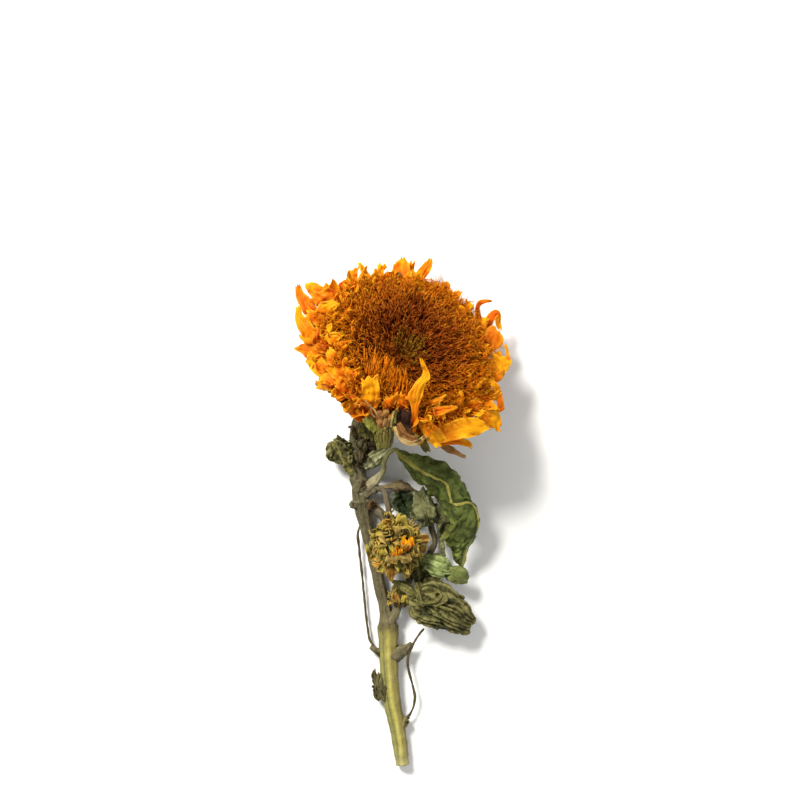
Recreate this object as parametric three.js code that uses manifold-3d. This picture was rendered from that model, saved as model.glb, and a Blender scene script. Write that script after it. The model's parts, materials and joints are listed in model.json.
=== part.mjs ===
// A dried double sunflower, cut and lying on its back: one main bloom on a bent neck, a closed side bud,
// a side shoot and the curled leaves that dried on the stem.
// Millimetres. +Y runs up the stem from its cut end, +X is to the right seen from above, +Z is up.
import * as THREE from "three";
import { mergeVertices } from "three/addons/utils/BufferGeometryUtils.js";
import Module from "manifold-3d";

const wasm = await Module();
wasm.setup();

// Driving dimensions of the bloom, in the bloom's own frame: its axis is local +Z.
const BLOOM_CENTRE = [0.2, 183.8, 30];
const BLOOM_TILT = 38;
const BLOOM_TURN = -34;
const DISC_RADIUS = 33;
const DISC_RISE = 6;
const RIM_RADIUS = 38;
const RECEPTACLE_DEPTH = 20;
const NECK_RADIUS = 4.6;
const RING_HEIGHT = 3.2;
const BLADE_THICKNESS = 0.9;
const LEAF_THICKNESS = 0.8;
const GAP = 0.3;

const COLOURS = {
  stem: 0x8a7f52,
  petals: 0xf59a0a,
  florets: 0x8e3d0c,
  bracts: 0x7c7a32,
  bud: 0xb08a2c,
  leaf: 0x56703a,
  oldLeaf: 0x6f6c3c,
};

// Small tools

function matter(colour, roughness) {
  return new THREE.MeshStandardMaterial({ color: colour, roughness, metalness: 0 });
}

function vector([x, y, z]) {
  return new THREE.Vector3(x, y, z);
}

// A seeded stream of even random numbers between low and high.
function randomStream(seed) {
  let state = seed >>> 0;
  return (low, high) => {
    state = (state + 0x6d2b79f5) >>> 0;
    let mixed = Math.imul(state ^ (state >>> 15), state | 1);
    mixed ^= mixed + Math.imul(mixed ^ (mixed >>> 7), mixed | 61);
    return low + ((high - low) * ((mixed ^ (mixed >>> 14)) >>> 0)) / 4294967296;
  };
}

// The value at share t of a list of values spread evenly along a route, eased between neighbours.
function valueAlong(values, t) {
  const place = Math.min(Math.max(t, 0), 1) * (values.length - 1);
  const index = Math.min(Math.floor(place), values.length - 2);
  const share = place - index;
  const eased = share * share * (3 - 2 * share);
  return values[index] * (1 - eased) + values[index + 1] * eased;
}

function route(points) {
  return new THREE.CatmullRomCurve3(points.map(vector), false, "catmullrom", 0.5);
}

// A closed three.js geometry as a solid that can be joined and cut.
function solidOf(geometry) {
  const bare = new THREE.BufferGeometry();
  bare.setAttribute("position", geometry.getAttribute("position"));
  bare.setIndex(geometry.getIndex());
  const merged = mergeVertices(bare, 1e-4);
  return new wasm.Manifold(
    new wasm.Mesh({
      numProp: 3,
      vertProperties: new Float32Array(merged.attributes.position.array),
      triVerts: new Uint32Array(merged.index.array),
    }),
  );
}

function geometryFrom(points, triangles) {
  const geometry = new THREE.BufferGeometry();
  geometry.setAttribute("position", new THREE.Float32BufferAttribute(points.flatMap((p) => p.toArray()), 3));
  geometry.setIndex(triangles);
  return geometry;
}

// A closed body through rings of points that all hold the same count, with a flat cap at each end.
function loft(rings) {
  const count = rings[0].length;
  const points = rings.flat();
  const triangles = [];
  for (let r = 0; r < rings.length - 1; r += 1) {
    for (let c = 0; c < count; c += 1) {
      const a = r * count + c;
      const b = r * count + ((c + 1) % count);
      triangles.push(a, b, b + count, a, b + count, a + count);
    }
  }
  const last = (rings.length - 1) * count;
  for (let c = 1; c < count - 1; c += 1) {
    triangles.push(0, c + 1, c, last, last + c, last + c + 1);
  }
  const made = solidOf(geometryFrom(points, triangles));
  if (made.volume() > 0) return made;
  return solidOf(geometryFrom(points, triangles.toReversed()));
}

function joined(solids) {
  return wasm.Manifold.union(solids);
}

// The largest body of a solid: loose scraps left by a cut are dropped.
function largestBody(solid) {
  return solid.decompose().reduce((best, body) => (body.volume() > best.volume() ? body : best));
}

// The solid swollen by the gap, so that what it is cut from stays clear of it.
function swollen(solid) {
  const steps = [];
  for (let axis = 0; axis < 3; axis += 1) {
    for (const sign of [-1, 1]) {
      const step = [0, 0, 0];
      step[axis] = sign * GAP;
      steps.push(solid.translate(step));
    }
  }
  return joined([solid, ...steps]);
}

// The body that is left of a solid when it is cut clear of what is already there.
function clearOf(solid, swollenOthers) {
  const near = swollenOthers.filter((other) => solid.intersect(other).volume() > 0);
  if (!near.length) return solid;
  return largestBody(solid.subtract(joined(near)));
}

// What lies on the surface is pressed flat on it.
const SURFACE_SIZE = 600;
const belowSurface = solidOf(
  new THREE.BoxGeometry(SURFACE_SIZE, SURFACE_SIZE, SURFACE_SIZE).translate(0, 0, -SURFACE_SIZE / 2),
);

function restedOnSurface(solid) {
  return largestBody(solid.subtract(belowSurface));
}

// Stalks

// A round stalk along a route, with its radius given at even steps and soft ribs along its length.
function stalk(points, radii, { rings = 30, sides = 10, rib = 0 } = {}) {
  const line = route(points);
  const frames = line.computeFrenetFrames(rings, false);
  const sections = [];
  for (let r = 0; r <= rings; r += 1) {
    const t = r / rings;
    const centre = line.getPoint(line.getUtoTmapping(t));
    const radius = valueAlong(radii, line.getUtoTmapping(t));
    const section = [];
    for (let s = 0; s < sides; s += 1) {
      const turn = (2 * Math.PI * s) / sides;
      const reach = radius * (1 + (s % 2 ? -rib : rib));
      const out = frames.normals[r].clone().multiplyScalar(Math.cos(turn) * reach);
      out.addScaledVector(frames.binormals[r], Math.sin(turn) * reach);
      section.push(centre.clone().add(out));
    }
    sections.push(section);
  }
  return loft(sections);
}

// A low rounded lump, such as the scar or the dried bud at a leaf joint.
function lump(place, size, turn = 0) {
  const ball = new THREE.SphereGeometry(1, 7, 5);
  ball.scale(...size);
  ball.rotateZ(THREE.MathUtils.degToRad(turn));
  ball.translate(...place);
  return solidOf(ball);
}

const STEM_ROUTE = [
  [0, 0, 3.1],
  [-1.6, 12.6, 3.2],
  [-5, 30.6, 3.6],
  [-6.4, 48.6, 4],
  [-6.6, 61, 4.3],
  [-7.6, 69.5, 4.2],
  [-9.9, 79, 4],
  [-12.8, 93.6, 4],
  [-16, 107, 4.3],
  [-19, 120.6, 4.8],
  [-20.4, 134, 5],
  [-20.8, 145, 5.4],
  [-19.6, 153.6, 6],
  [-16.4, 160.4, 7],
  [-12, 166.4, 9],
  [-7.8, 171.6, 12.6],
];
const STEM_RADII = [3.3, 3.4, 3.8, 4.2, 4.7, 3.7, 2.6, 2.8, 3.1, 3.7, 3.7, 4, 4.2, 4.5, 4.6, 4.4];
const SHOOT_ROUTE = [
  [-6, 64, 5],
  [-2.6, 70.4, 6],
  [0.4, 78, 6],
  [4.4, 86, 5.2],
  [10, 92.5, 4.6],
  [14.5, 101, 5],
  [12.5, 109.5, 6.4],
];
const SHOOT_RADII = [2.2, 1.9, 1.6, 1.4, 1.3, 1.3, 1.4];
const BUD_STALK_ROUTE = [
  [-18.5, 119.5, 5],
  [-13.5, 117.5, 6.5],
  [-9, 114, 8.4],
  [-5.6, 109, 10.4],
];
const BUD_STALK_RADII = [2.6, 2.2, 2.3, 3];
const LEAF_STUB_ROUTE = [
  [-19, 121, 5],
  [-15, 124, 6.6],
  [-11.9, 125.2, 8],
];
const STRAND_LEFT_ROUTE = [
  [-17.5, 112, 5],
  [-20.2, 105, 4.2],
  [-19.4, 96, 3.2],
  [-18, 82, 2.6],
  [-16.4, 66, 2.4],
  [-15, 57, 2.6],
  [-12, 52.6, 3.2],
  [-8.5, 50, 4],
];
const STRAND_RIGHT_ROUTE = [
  [0.5, 19.5, 3.6],
  [4, 23.6, 3.8],
  [5.6, 29.3, 4.2],
  [5.2, 33.8, 4.5],
  [3.4, 40.5, 5],
  [2.3, 46.8, 5.2],
  [3.8, 52.7, 5.6],
  [7, 58.6, 6],
  [9.7, 62, 6.4],
];
const STRAND_RADIUS = 0.65;
// Each joint lump: where it is, its half sizes and its turn about +Z in degrees.
const STEM_LUMPS = [
  [[-6.6, 62.5, 4.3], [5.1, 2.6, 4.6], 8],
  [[-10.4, 35, 4], [3.2, 5.4, 2.8], -18],
  [[0, 52.6, 5], [3.6, 4.4, 3], 24],
  [[1.6, 20.4, 3.6], [2.8, 3.2, 2.4], -30],
  [[-18.6, 118, 5], [4.8, 3.4, 4.4], 12],
  [[-20.6, 128, 5.4], [4.5, 2.8, 4.2], -8],
  [[0.2, 77.6, 6.4], [2.4, 2.6, 2.2], 0],
];

function makeStem() {
  const strandRadii = [STRAND_RADIUS, STRAND_RADIUS];
  return restedOnSurface(
    joined([
      stalk(STEM_ROUTE, STEM_RADII, { rings: 32, sides: 10, rib: 0.05 }),
      stalk(SHOOT_ROUTE, SHOOT_RADII, { rings: 10, sides: 6 }),
      stalk(BUD_STALK_ROUTE, BUD_STALK_RADII, { rings: 5, sides: 7 }),
      stalk(LEAF_STUB_ROUTE, [2.2, 1.7, 1.5], { rings: 3, sides: 7 }),
      stalk(STRAND_LEFT_ROUTE, strandRadii, { rings: 12, sides: 4 }),
      stalk(STRAND_RIGHT_ROUTE, strandRadii, { rings: 12, sides: 4 }),
      ...STEM_LUMPS.map(([place, size, turn]) => lump(place, size, turn)),
    ]),
  );
}

// Petals and bracts

// How a blade's outline swells from its root and narrows to its tip, as shares of its length and width.
const BLADE_OUTLINE = { rootPlace: 0.08, span: 0.86, fullness: 0.7, tipWidth: 0.14 };
const TIP_THINNING = 0.6;
const LONG_BLADE = 19;

// The share of its greatest width that a blade has at share s of its length.
function bladeWidth(s, rootShare) {
  const place = Math.min(BLADE_OUTLINE.rootPlace + BLADE_OUTLINE.span * s, 1);
  const swell = Math.sin(Math.PI * place) ** BLADE_OUTLINE.fullness;
  return Math.max(swell, rootShare * (1 - s), BLADE_OUTLINE.tipWidth);
}

// A narrow crisp blade, such as a petal or a bract. It leaves `start` in the heading and rise given in
// degrees, and curls, bends sideways and twists evenly along its length. Its section is a flat diamond.
function blade({ start, heading, rise, length, width, curl, bend, twist, cup = 0.12, root = 0.5 }) {
  const segments = length > LONG_BLADE ? 4 : 3;
  const sections = [];
  const spot = start.clone();
  for (let i = 0; i <= segments; i += 1) {
    const s = i / segments;
    const turn = THREE.MathUtils.degToRad(heading + bend * s);
    const lift = THREE.MathUtils.degToRad(rise + curl * s);
    const along = new THREE.Vector3(
      Math.cos(lift) * Math.cos(turn),
      Math.cos(lift) * Math.sin(turn),
      Math.sin(lift),
    );
    if (i > 0) spot.addScaledVector(along, length / segments);
    const side = new THREE.Vector3(-Math.sin(turn), Math.cos(turn), 0);
    side.applyAxisAngle(along, THREE.MathUtils.degToRad(twist * s));
    const face = new THREE.Vector3().crossVectors(along, side);
    const half = (width / 2) * bladeWidth(s, root);
    const hollow = cup * half;
    const thick = (BLADE_THICKNESS / 2) * (s < 1 ? 1 : TIP_THINNING);
    sections.push([
      spot.clone().addScaledVector(side, -half).addScaledVector(face, hollow),
      spot.clone().addScaledVector(face, -thick),
      spot.clone().addScaledVector(side, half).addScaledVector(face, hollow),
      spot.clone().addScaledVector(face, thick),
    ]);
  }
  return loft(sections);
}

// Petal rows, from the short upright ones round the disc to the long outer ones.
// Towards the bloom's front, the side that is turned away from the surface, they stand more upright.
const PETAL_ROWS = [
  {
    seed: 11, count: 22, inset: 3, height: 2.2, length: [8, 12], width: [4.4, 5.8],
    rise: [66, 100], curl: [-24, 18],
  },
  {
    seed: 23, count: 20, inset: 2, height: 1.6, length: [11, 16], width: [5.6, 7.6],
    rise: [44, 70], curl: [-26, 46],
  },
  {
    seed: 37, count: 19, inset: 1, height: 0.8, length: [13.5, 18.5], width: [6.6, 9],
    rise: [14, 38], curl: [-16, 60],
  },
];
// Petals that stand out of the rows: station on the ring, inset from the rim, height, heading, length,
// width, rise, curl, bend and twist.
const LONE_PETALS = [
  [-90, 2, 1.4, -90, 15, 8.8, 92, 14, 0, 0],
  [-56, 0.6, 0.4, -58, 33, 5.8, 110, 30, 10, 20],
  [-48, 0.4, 0.6, 2, 25, 7.8, 16, 8, 44, 20],
  [-44, 0.4, 0.2, -16, 22, 6.6, -4, 8, 50, -15],
  [-58, 3, 2.4, 26, 20, 6.2, 38, -18, 26, 10],
  [-72, 3, 2.4, -16, 17, 6.4, 46, 10, 50, 0],
  [-102, 0.5, 0.8, -108, 15, 7.6, 10, -34, -8, 0],
  [-115, 1.5, 1.8, -158, 24, 7.8, 26, 12, -16, 10],
  [-128, 0.6, 0.6, -134, 16, 7.4, 8, 14, -10, 12],
  [-138, 1, 1.4, -158, 20, 7.8, 20, 16, -14, -10],
  [-150, 1, 0.8, -150, 17, 6.8, 12, 22, 10, 0],
  [174, 1, 1, 172, 20, 6, 14, 6, 6, 10],
  [188, 1, 0.8, 190, 18, 6.2, 14, 12, -8, -10],
  [138, 1.5, 1.6, 130, 16, 3.8, 62, 6, 8, 30],
  [121, 1.5, 1.6, 115, 16, 7.6, 58, 4, 4, 0],
  [107, 1.5, 1.6, 88, 17, 5.6, 54, 4, -16, 10],
  [70, 2, 1.8, 64, 18, 4, 64, 46, 40, 40],
  [30, 1, 1, 26, 13, 6.6, 34, 40, 20, -20],
  [-4, 1, 1, -8, 14, 6.4, 28, 26, 26, 10],
];
// How much shorter petals are at the back of the bloom, near the surface, than at its front.
const BACK_SHORTENING = 0.24;
const FRONT_LIFT = 12;
const PETAL_SPREAD = { station: 0.28, heading: 16, bend: 26, twist: 32 };

function petalSpecs() {
  const specs = [];
  for (const row of PETAL_ROWS) {
    const random = randomStream(row.seed);
    const either = (most) => random(-most, most);
    for (let i = 0; i < row.count; i += 1) {
      const station = (360 * (i + either(PETAL_SPREAD.station))) / row.count;
      const backShare = Math.sin(THREE.MathUtils.degToRad(station));
      specs.push({
        station,
        ring: RIM_RADIUS - row.inset,
        height: row.height,
        heading: station + either(PETAL_SPREAD.heading),
        length: random(...row.length) * (1 - BACK_SHORTENING * Math.max(backShare, 0)),
        width: random(...row.width),
        rise: random(...row.rise) + FRONT_LIFT * Math.max(-backShare, 0),
        curl: random(...row.curl),
        bend: either(PETAL_SPREAD.bend),
        twist: either(PETAL_SPREAD.twist),
      });
    }
  }
  for (const [station, inset, height, heading, length, width, rise, curl, bend, twist] of LONE_PETALS) {
    const ring = RIM_RADIUS - inset;
    specs.push({ station, ring, height, heading, length, width, rise, curl, bend, twist });
  }
  return specs;
}

function onRing(heading, radius, height) {
  const turn = THREE.MathUtils.degToRad(heading);
  return new THREE.Vector3(Math.cos(turn) * radius, Math.sin(turn) * radius, height);
}

// The bloom's solids are made in its own frame and turned into place here.
const bloomPlace = new THREE.Matrix4()
  .makeRotationZ(THREE.MathUtils.degToRad(BLOOM_TURN))
  .multiply(new THREE.Matrix4().makeRotationX(-THREE.MathUtils.degToRad(BLOOM_TILT)))
  .setPosition(...BLOOM_CENTRE);

function intoPlace(solid) {
  return solid.transform(bloomPlace.toArray());
}

function lathe(profile, sides) {
  const outline = profile.map(([r, h]) => new THREE.Vector2(r, h));
  return solidOf(new THREE.LatheGeometry(outline, sides).rotateX(Math.PI / 2));
}

const RING_TAPER = 0.6;
const RING_SIDES = 36;

function makePetals() {
  const inside = DISC_RADIUS + GAP;
  const ring = lathe(
    [
      [inside, GAP],
      [RIM_RADIUS, GAP],
      [RIM_RADIUS - RING_TAPER, RING_HEIGHT],
      [inside, RING_HEIGHT + RING_TAPER],
      [inside, GAP],
    ],
    RING_SIDES,
  );
  const blades = petalSpecs().map((spec) =>
    blade({ ...spec, start: onRing(spec.station, spec.ring, spec.height) }),
  );
  return intoPlace(joined([ring, ...blades]));
}

// The dried disc: each cell of a spiral net carries one floret, a four-sided point larger than life.
// The net's ground is a low dome with a dimple at its middle, and the florets grow taller outwards.
const NET_SECTORS = 30;
const NET_START_RADIUS = 4;
const NET_TWIST = 0.5;
const LAST_CELL_SHARE = 0.93;
const DISC_EDGE_HEIGHT = 1.2;
const DISC_FULLNESS = 2.4;
const DIMPLE = { depth: 3.4, radius: 9 };
const FLORET = { height: 1.3, growth: 0.26, unevenness: [0.75, 1.15], lean: [0.1, 0.4] };

function discHeight(radius) {
  const dome = DISC_RISE * (1 - (radius / DISC_RADIUS) ** DISC_FULLNESS);
  return GAP + DISC_EDGE_HEIGHT + dome - DIMPLE.depth * Math.exp(-((radius / DIMPLE.radius) ** 2));
}

function makeFlorets() {
  const random = randomStream(53);
  const growth = 1 + (2 * Math.PI) / NET_SECTORS;
  const rings = [];
  let radius = NET_START_RADIUS;
  while (radius < DISC_RADIUS * LAST_CELL_SHARE) {
    rings.push(radius);
    radius *= growth;
  }
  rings.push(DISC_RADIUS);
  const points = [new THREE.Vector3(0, 0, discHeight(0) + FLORET.height)];
  const triangles = [];
  const netPoint = (r, s) => 1 + r * NET_SECTORS + ((s + NET_SECTORS) % NET_SECTORS);
  rings.forEach((ringRadius, r) => {
    for (let s = 0; s < NET_SECTORS; s += 1) {
      points.push(onRing((360 * (s + r * NET_TWIST)) / NET_SECTORS, ringRadius, discHeight(ringRadius)));
    }
  });
  for (let s = 0; s < NET_SECTORS; s += 1) triangles.push(0, netPoint(0, s), netPoint(0, s + 1));
  for (let r = 0; r < rings.length - 1; r += 1) {
    for (let s = 0; s < NET_SECTORS; s += 1) {
      const corners = [netPoint(r, s), netPoint(r + 1, s), netPoint(r + 1, s + 1), netPoint(r, s + 1)];
      const spot = new THREE.Vector3();
      corners.forEach((corner) => spot.addScaledVector(points[corner], 0.25));
      const tall = (FLORET.height + FLORET.growth * rings[r]) * random(...FLORET.unevenness);
      const lean = (tall * random(...FLORET.lean) * rings[r]) / DISC_RADIUS;
      const out = new THREE.Vector3(spot.x, spot.y, 0).normalize();
      const tip = points.length;
      points.push(spot.addScaledVector(out, lean).add(new THREE.Vector3(0, 0, tall)));
      corners.forEach((corner, c) => triangles.push(corner, corners[(c + 1) % 4], tip));
    }
  }
  const outer = rings.length - 1;
  const foot = points.length;
  const rimFoot = foot + 1;
  points.push(new THREE.Vector3(0, 0, GAP));
  for (let s = 0; s < NET_SECTORS; s += 1) {
    points.push(points[netPoint(outer, s)].clone().setZ(GAP));
  }
  for (let s = 0; s < NET_SECTORS; s += 1) {
    const low = rimFoot + s;
    const lowNext = rimFoot + ((s + 1) % NET_SECTORS);
    triangles.push(netPoint(outer, s), low, lowNext, netPoint(outer, s), lowNext, netPoint(outer, s + 1));
    triangles.push(foot, lowNext, low);
  }
  return intoPlace(solidOf(geometryFrom(points, triangles)));
}

// The receptacle, a shallow cup that flares from the neck to the rim, with its rows of leafy bracts.
const RECEPTACLE_PROFILE = [
  [0, -RECEPTACLE_DEPTH],
  [NECK_RADIUS, -RECEPTACLE_DEPTH],
  [NECK_RADIUS + 2.2, -RECEPTACLE_DEPTH + 5],
  [14, -11.4],
  [25, -8],
  [34, -4],
  [RIM_RADIUS - 0.6, 0],
  [0, 0],
];
const BRACT_ROWS = [
  {
    seed: 61, count: 14, ring: 35, height: -2.6, length: [9, 13], width: [6.4, 8.4],
    rise: [-14, 26], curl: [0, 54],
  },
  {
    seed: 67, count: 12, ring: 29.4, height: -5.8, length: [9, 13], width: [6.4, 8.4],
    rise: [-26, 2], curl: [10, 52],
  },
  {
    seed: 71, count: 7, ring: 21, height: -9, length: [9, 12], width: [5.4, 7.4],
    rise: [-34, -14], curl: [10, 46],
  },
];

const BRACT_SPREAD = { station: 0.3, bend: 14, twist: 20 };
const LEAFY_ROOT = 0.9;
const RECEPTACLE_SIDES = 28;

function makeBracts() {
  const blades = [];
  for (const row of BRACT_ROWS) {
    const random = randomStream(row.seed);
    const either = (most) => random(-most, most);
    for (let i = 0; i < row.count; i += 1) {
      const heading = (360 * (i + either(BRACT_SPREAD.station))) / row.count;
      blades.push(
        blade({
          start: onRing(heading, row.ring, row.height),
          heading,
          length: random(...row.length),
          width: random(...row.width),
          rise: random(...row.rise),
          curl: random(...row.curl),
          bend: either(BRACT_SPREAD.bend),
          twist: either(BRACT_SPREAD.twist),
          root: LEAFY_ROOT,
        }),
      );
    }
  }
  return intoPlace(joined([lathe(RECEPTACLE_PROFILE, RECEPTACLE_SIDES), ...blades]));
}

// Side buds: a small solid core covered all round by curled scales.

const SIDE_BUD = {
  centre: [-2.6, 100.6, 15.4], axis: [0.16, -0.42, 0.89], radius: 11.6, scales: 31, seed: 83,
};
const SMALL_BUD = {
  centre: [-3.2, 76.6, 6.8], axis: [-0.2, 0.5, 0.84], radius: 3.2, scales: 6, seed: 89,
};
const GOLDEN_TURN = 180 * (3 - Math.sqrt(5));
// The scales cover the bud from its top down to its stalk. Their sizes are shares of the bud's radius.
const BUD_COVER = 1.86;
const CORE_SHARE = 0.9;
const SCALE_ROOT_SHARE = 0.82;
const SCALE = {
  lift: [6, 34],
  length: [0.55, 0.8],
  width: [0.5, 0.72],
  curl: [20, 80],
  spread: 30,
  cup: 0.35,
};

function makeBud({ centre, axis, radius, scales, seed }) {
  const random = randomStream(seed);
  const parts = [solidOf(new THREE.SphereGeometry(radius * CORE_SHARE, 10, 7))];
  for (let i = 0; i < scales; i += 1) {
    const polar = Math.acos(1 - (BUD_COVER * (i + 0.5)) / scales);
    const heading = i * GOLDEN_TURN;
    const rootRadius = radius * SCALE_ROOT_SHARE;
    parts.push(
      blade({
        start: onRing(heading, Math.sin(polar) * rootRadius, Math.cos(polar) * rootRadius),
        heading,
        rise: 90 - THREE.MathUtils.radToDeg(polar) + random(...SCALE.lift),
        length: radius * random(...SCALE.length),
        width: radius * random(...SCALE.width),
        curl: random(...SCALE.curl),
        bend: random(-SCALE.spread, SCALE.spread),
        twist: random(-SCALE.spread, SCALE.spread),
        cup: SCALE.cup,
        root: LEAFY_ROOT,
      }),
    );
  }
  const upright = new THREE.Vector3(0, 0, 1);
  const turned = new THREE.Quaternion().setFromUnitVectors(upright, vector(axis).normalize());
  const place = new THREE.Matrix4().compose(vector(centre), turned, new THREE.Vector3(1, 1, 1));
  return joined(parts).transform(place.toArray());
}

// Leaves

// Each leaf: its midrib from stalk to tip, the way its face looks at even steps along it, its half width
// on either side of the midrib, how far its halves fold up in degrees, and its waves and pleats.
const LEAVES = {
  leaf_long: {
    spine: [
      [-11.4, 125.6, 9.4], [-8.6, 130.5, 12.6], [-6.1, 138.2, 16.6], [-1.6, 142, 20.4],
      [3.4, 137.6, 22.6], [12.4, 131.4, 23], [20, 126, 22], [24.4, 118.4, 19],
      [27.6, 111, 15.6], [29, 100.6, 11], [27.4, 90.6, 6.4],
    ],
    face: [[0, 0, 1], [-0.3, 0.2, 1], [-0.1, 0.1, 1], [0.2, 0.4, 1], [0.5, 0.2, 1], [0.4, 0.4, 0.9]],
    over: [0.9, 0.8, 0.8, 1.3, 5.6, 8.6, 8, 6.4, 5.6, 4.6, 0.5],
    under: [0.9, 0.8, 0.8, 1.2, 3.4, 4.6, 6, 8.4, 9.4, 6.4, 0.5],
    fold: [0, 0, 18, 26, 14, 20],
    wave: { height: 1.5, count: 4.5, phase: 0.6 },
    pleat: { height: 0, count: 0 },
    rows: 22,
    columns: 6,
  },
  leaf_pleated: {
    spine: [
      [-0.8, 74.4, 7], [5.4, 73.6, 12], [13, 72.2, 14.6], [22, 68.8, 13], [29.8, 64.6, 8],
    ],
    face: [[-0.1, 0.1, 1], [0, 0, 1], [0.3, 0.1, 0.95], [0.75, 0, 0.7]],
    over: [2.4, 10.4, 14.4, 13.4, 7],
    under: [1.4, 5, 7.4, 7.6, 4.6],
    fold: [-8, -14, -18],
    wave: { height: 1.6, count: 2.4, phase: 0.2 },
    pleat: { height: 1.5, count: 1.9 },
    rows: 12,
    columns: 10,
  },
  leaf_curl_upper: {
    spine: [[8.6, 90.6, 5.2], [12.6, 91.4, 10.6], [17.4, 93.2, 12.6], [21, 92.6, 9]],
    face: [[-0.4, 0, 1], [0, -0.1, 1], [0.6, 0, 0.8]],
    over: [0.8, 4.4, 5, 1.6],
    under: [0.8, 4.6, 5, 1.6],
    fold: [-20, -34, -20],
    wave: { height: 0.7, count: 2, phase: 0 },
    pleat: { height: 0.6, count: 2.2 },
    rows: 8,
    columns: 8,
  },
  leaf_curl_lower: {
    spine: [[6.2, 87.4, 5.4], [14.4, 85.8, 10], [21.4, 86.8, 12], [26.4, 85, 9.2]],
    face: [[-0.3, 0, 1], [0, -0.1, 1], [0.6, -0.1, 0.8]],
    over: [0.8, 2.6, 4.2, 1.4],
    under: [0.8, 3, 4.4, 1.8],
    fold: [-16, -30, -18],
    wave: { height: 0.6, count: 1.6, phase: 1 },
    pleat: { height: 0, count: 0 },
    rows: 6,
    columns: 6,
  },
  leaf_knot: {
    spine: [
      [12.6, 109.8, 6.8], [8.6, 114.6, 12], [11.4, 117.6, 14.6],
      [15.8, 113.8, 13], [18.8, 107.4, 9.4], [19.6, 102, 6],
    ],
    face: [[-0.3, 0.1, 1], [0, 0.5, 1], [0.3, 0.3, 1], [0.5, 0, 0.9]],
    over: [0.8, 3.4, 4.6, 4.8, 4, 1],
    under: [0.8, 3, 3.8, 4, 3.4, 1],
    fold: [10, -22, -26, -10],
    wave: { height: 1.2, count: 3, phase: 0.4 },
    pleat: { height: 0, count: 0 },
    rows: 12,
    columns: 6,
  },
  leaf_shaded: {
    spine: [[11.8, 110.6, 6.6], [4.4, 114.4, 10.6], [-0.4, 119, 12.4], [-3, 122.6, 9.6]],
    face: [[0, -0.3, 1], [-0.2, -0.2, 1], [-0.4, 0, 0.9]],
    over: [0.8, 3.4, 3.8, 0.8],
    under: [0.8, 3, 3.2, 0.8],
    fold: [20, 34, 20],
    wave: { height: 0.8, count: 2.6, phase: 0 },
    pleat: { height: 0, count: 0 },
    rows: 10,
    columns: 4,
  },
  leaf_brown: {
    spine: [[-12, 124.4, 8.2], [-6, 125.8, 9.8], [-1, 126.4, 9.4], [4, 124.6, 7.4]],
    face: [[0, -0.2, 1], [0, -0.3, 1], [0.2, -0.2, 1]],
    over: [0.8, 2.2, 2.9, 0.6],
    under: [0.8, 2, 2.6, 0.6],
    fold: [26, 40, 26],
    wave: { height: 0.5, count: 2, phase: 0 },
    pleat: { height: 0, count: 0 },
    rows: 8,
    columns: 4,
  },
  leaf_neck_right: {
    spine: [[-18.6, 134.6, 8.2], [-14.2, 136.2, 11.4], [-10.6, 139.4, 13], [-8, 143.4, 13.4]],
    face: [[-0.2, -0.2, 1], [0.1, -0.3, 1], [0.3, -0.1, 1]],
    over: [1, 2.8, 3.4, 0.8],
    under: [1, 3, 3.6, 0.8],
    fold: [10, 30, 26],
    wave: { height: 0.6, count: 2, phase: 0 },
    pleat: { height: 0.35, count: 2 },
    rows: 8,
    columns: 8,
  },
  leaf_neck_left: {
    spine: [[-22.4, 135, 7.6], [-27, 137.6, 9], [-30.2, 142, 9.4], [-31.6, 147, 7.4]],
    face: [[0, 0, 1], [-0.2, 0, 1], [-0.4, 0.1, 0.9]],
    over: [0.8, 2.6, 3.2, 0.9],
    under: [0.8, 2.6, 3.4, 0.9],
    fold: [14, 36, 24],
    wave: { height: 1, count: 3.4, phase: 0.8 },
    pleat: { height: 0, count: 0 },
    rows: 10,
    columns: 4,
  },
};
const BROWNED_LEAVES = ["leaf_brown", "leaf_neck_left"];
const TOOTH_DEPTH = 0.1;
// A stretch of leaf narrower than this, such as its stalk, has shallower waves and pleats.
const FULL_WAVE_WIDTH = 3;
const MARGIN_LEAD = 1;

// The point of a leaf at share u of its midrib and v across it, from -1 at one margin to 1 at the other.
function leafPoint(leaf, spine, face, u, v) {
  const middle = spine.getPoint(u);
  const along = spine.getTangent(u);
  const up = face.getPoint(u);
  up.addScaledVector(along, -up.dot(along)).normalize();
  const side = new THREE.Vector3().crossVectors(along, up);
  const half = valueAlong(v < 0 ? leaf.over : leaf.under, u);
  const fold = THREE.MathUtils.degToRad(valueAlong(leaf.fold, u));
  const reach = Math.abs(v) * half;
  const fullness = Math.min(half / FULL_WAVE_WIDTH, 1);
  const lead = leaf.wave.phase + (v > 0 ? MARGIN_LEAD : 0);
  const wave = leaf.wave.height * Math.abs(v) ** 1.5 * Math.sin(2 * Math.PI * leaf.wave.count * u + lead);
  const pleat = leaf.pleat.height * Math.sin(2 * Math.PI * leaf.pleat.count * v);
  middle.addScaledVector(side, Math.sign(v) * reach * Math.cos(fold));
  middle.addScaledVector(up, reach * Math.sin(fold) + (wave + pleat) * fullness);
  return middle;
}

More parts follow.
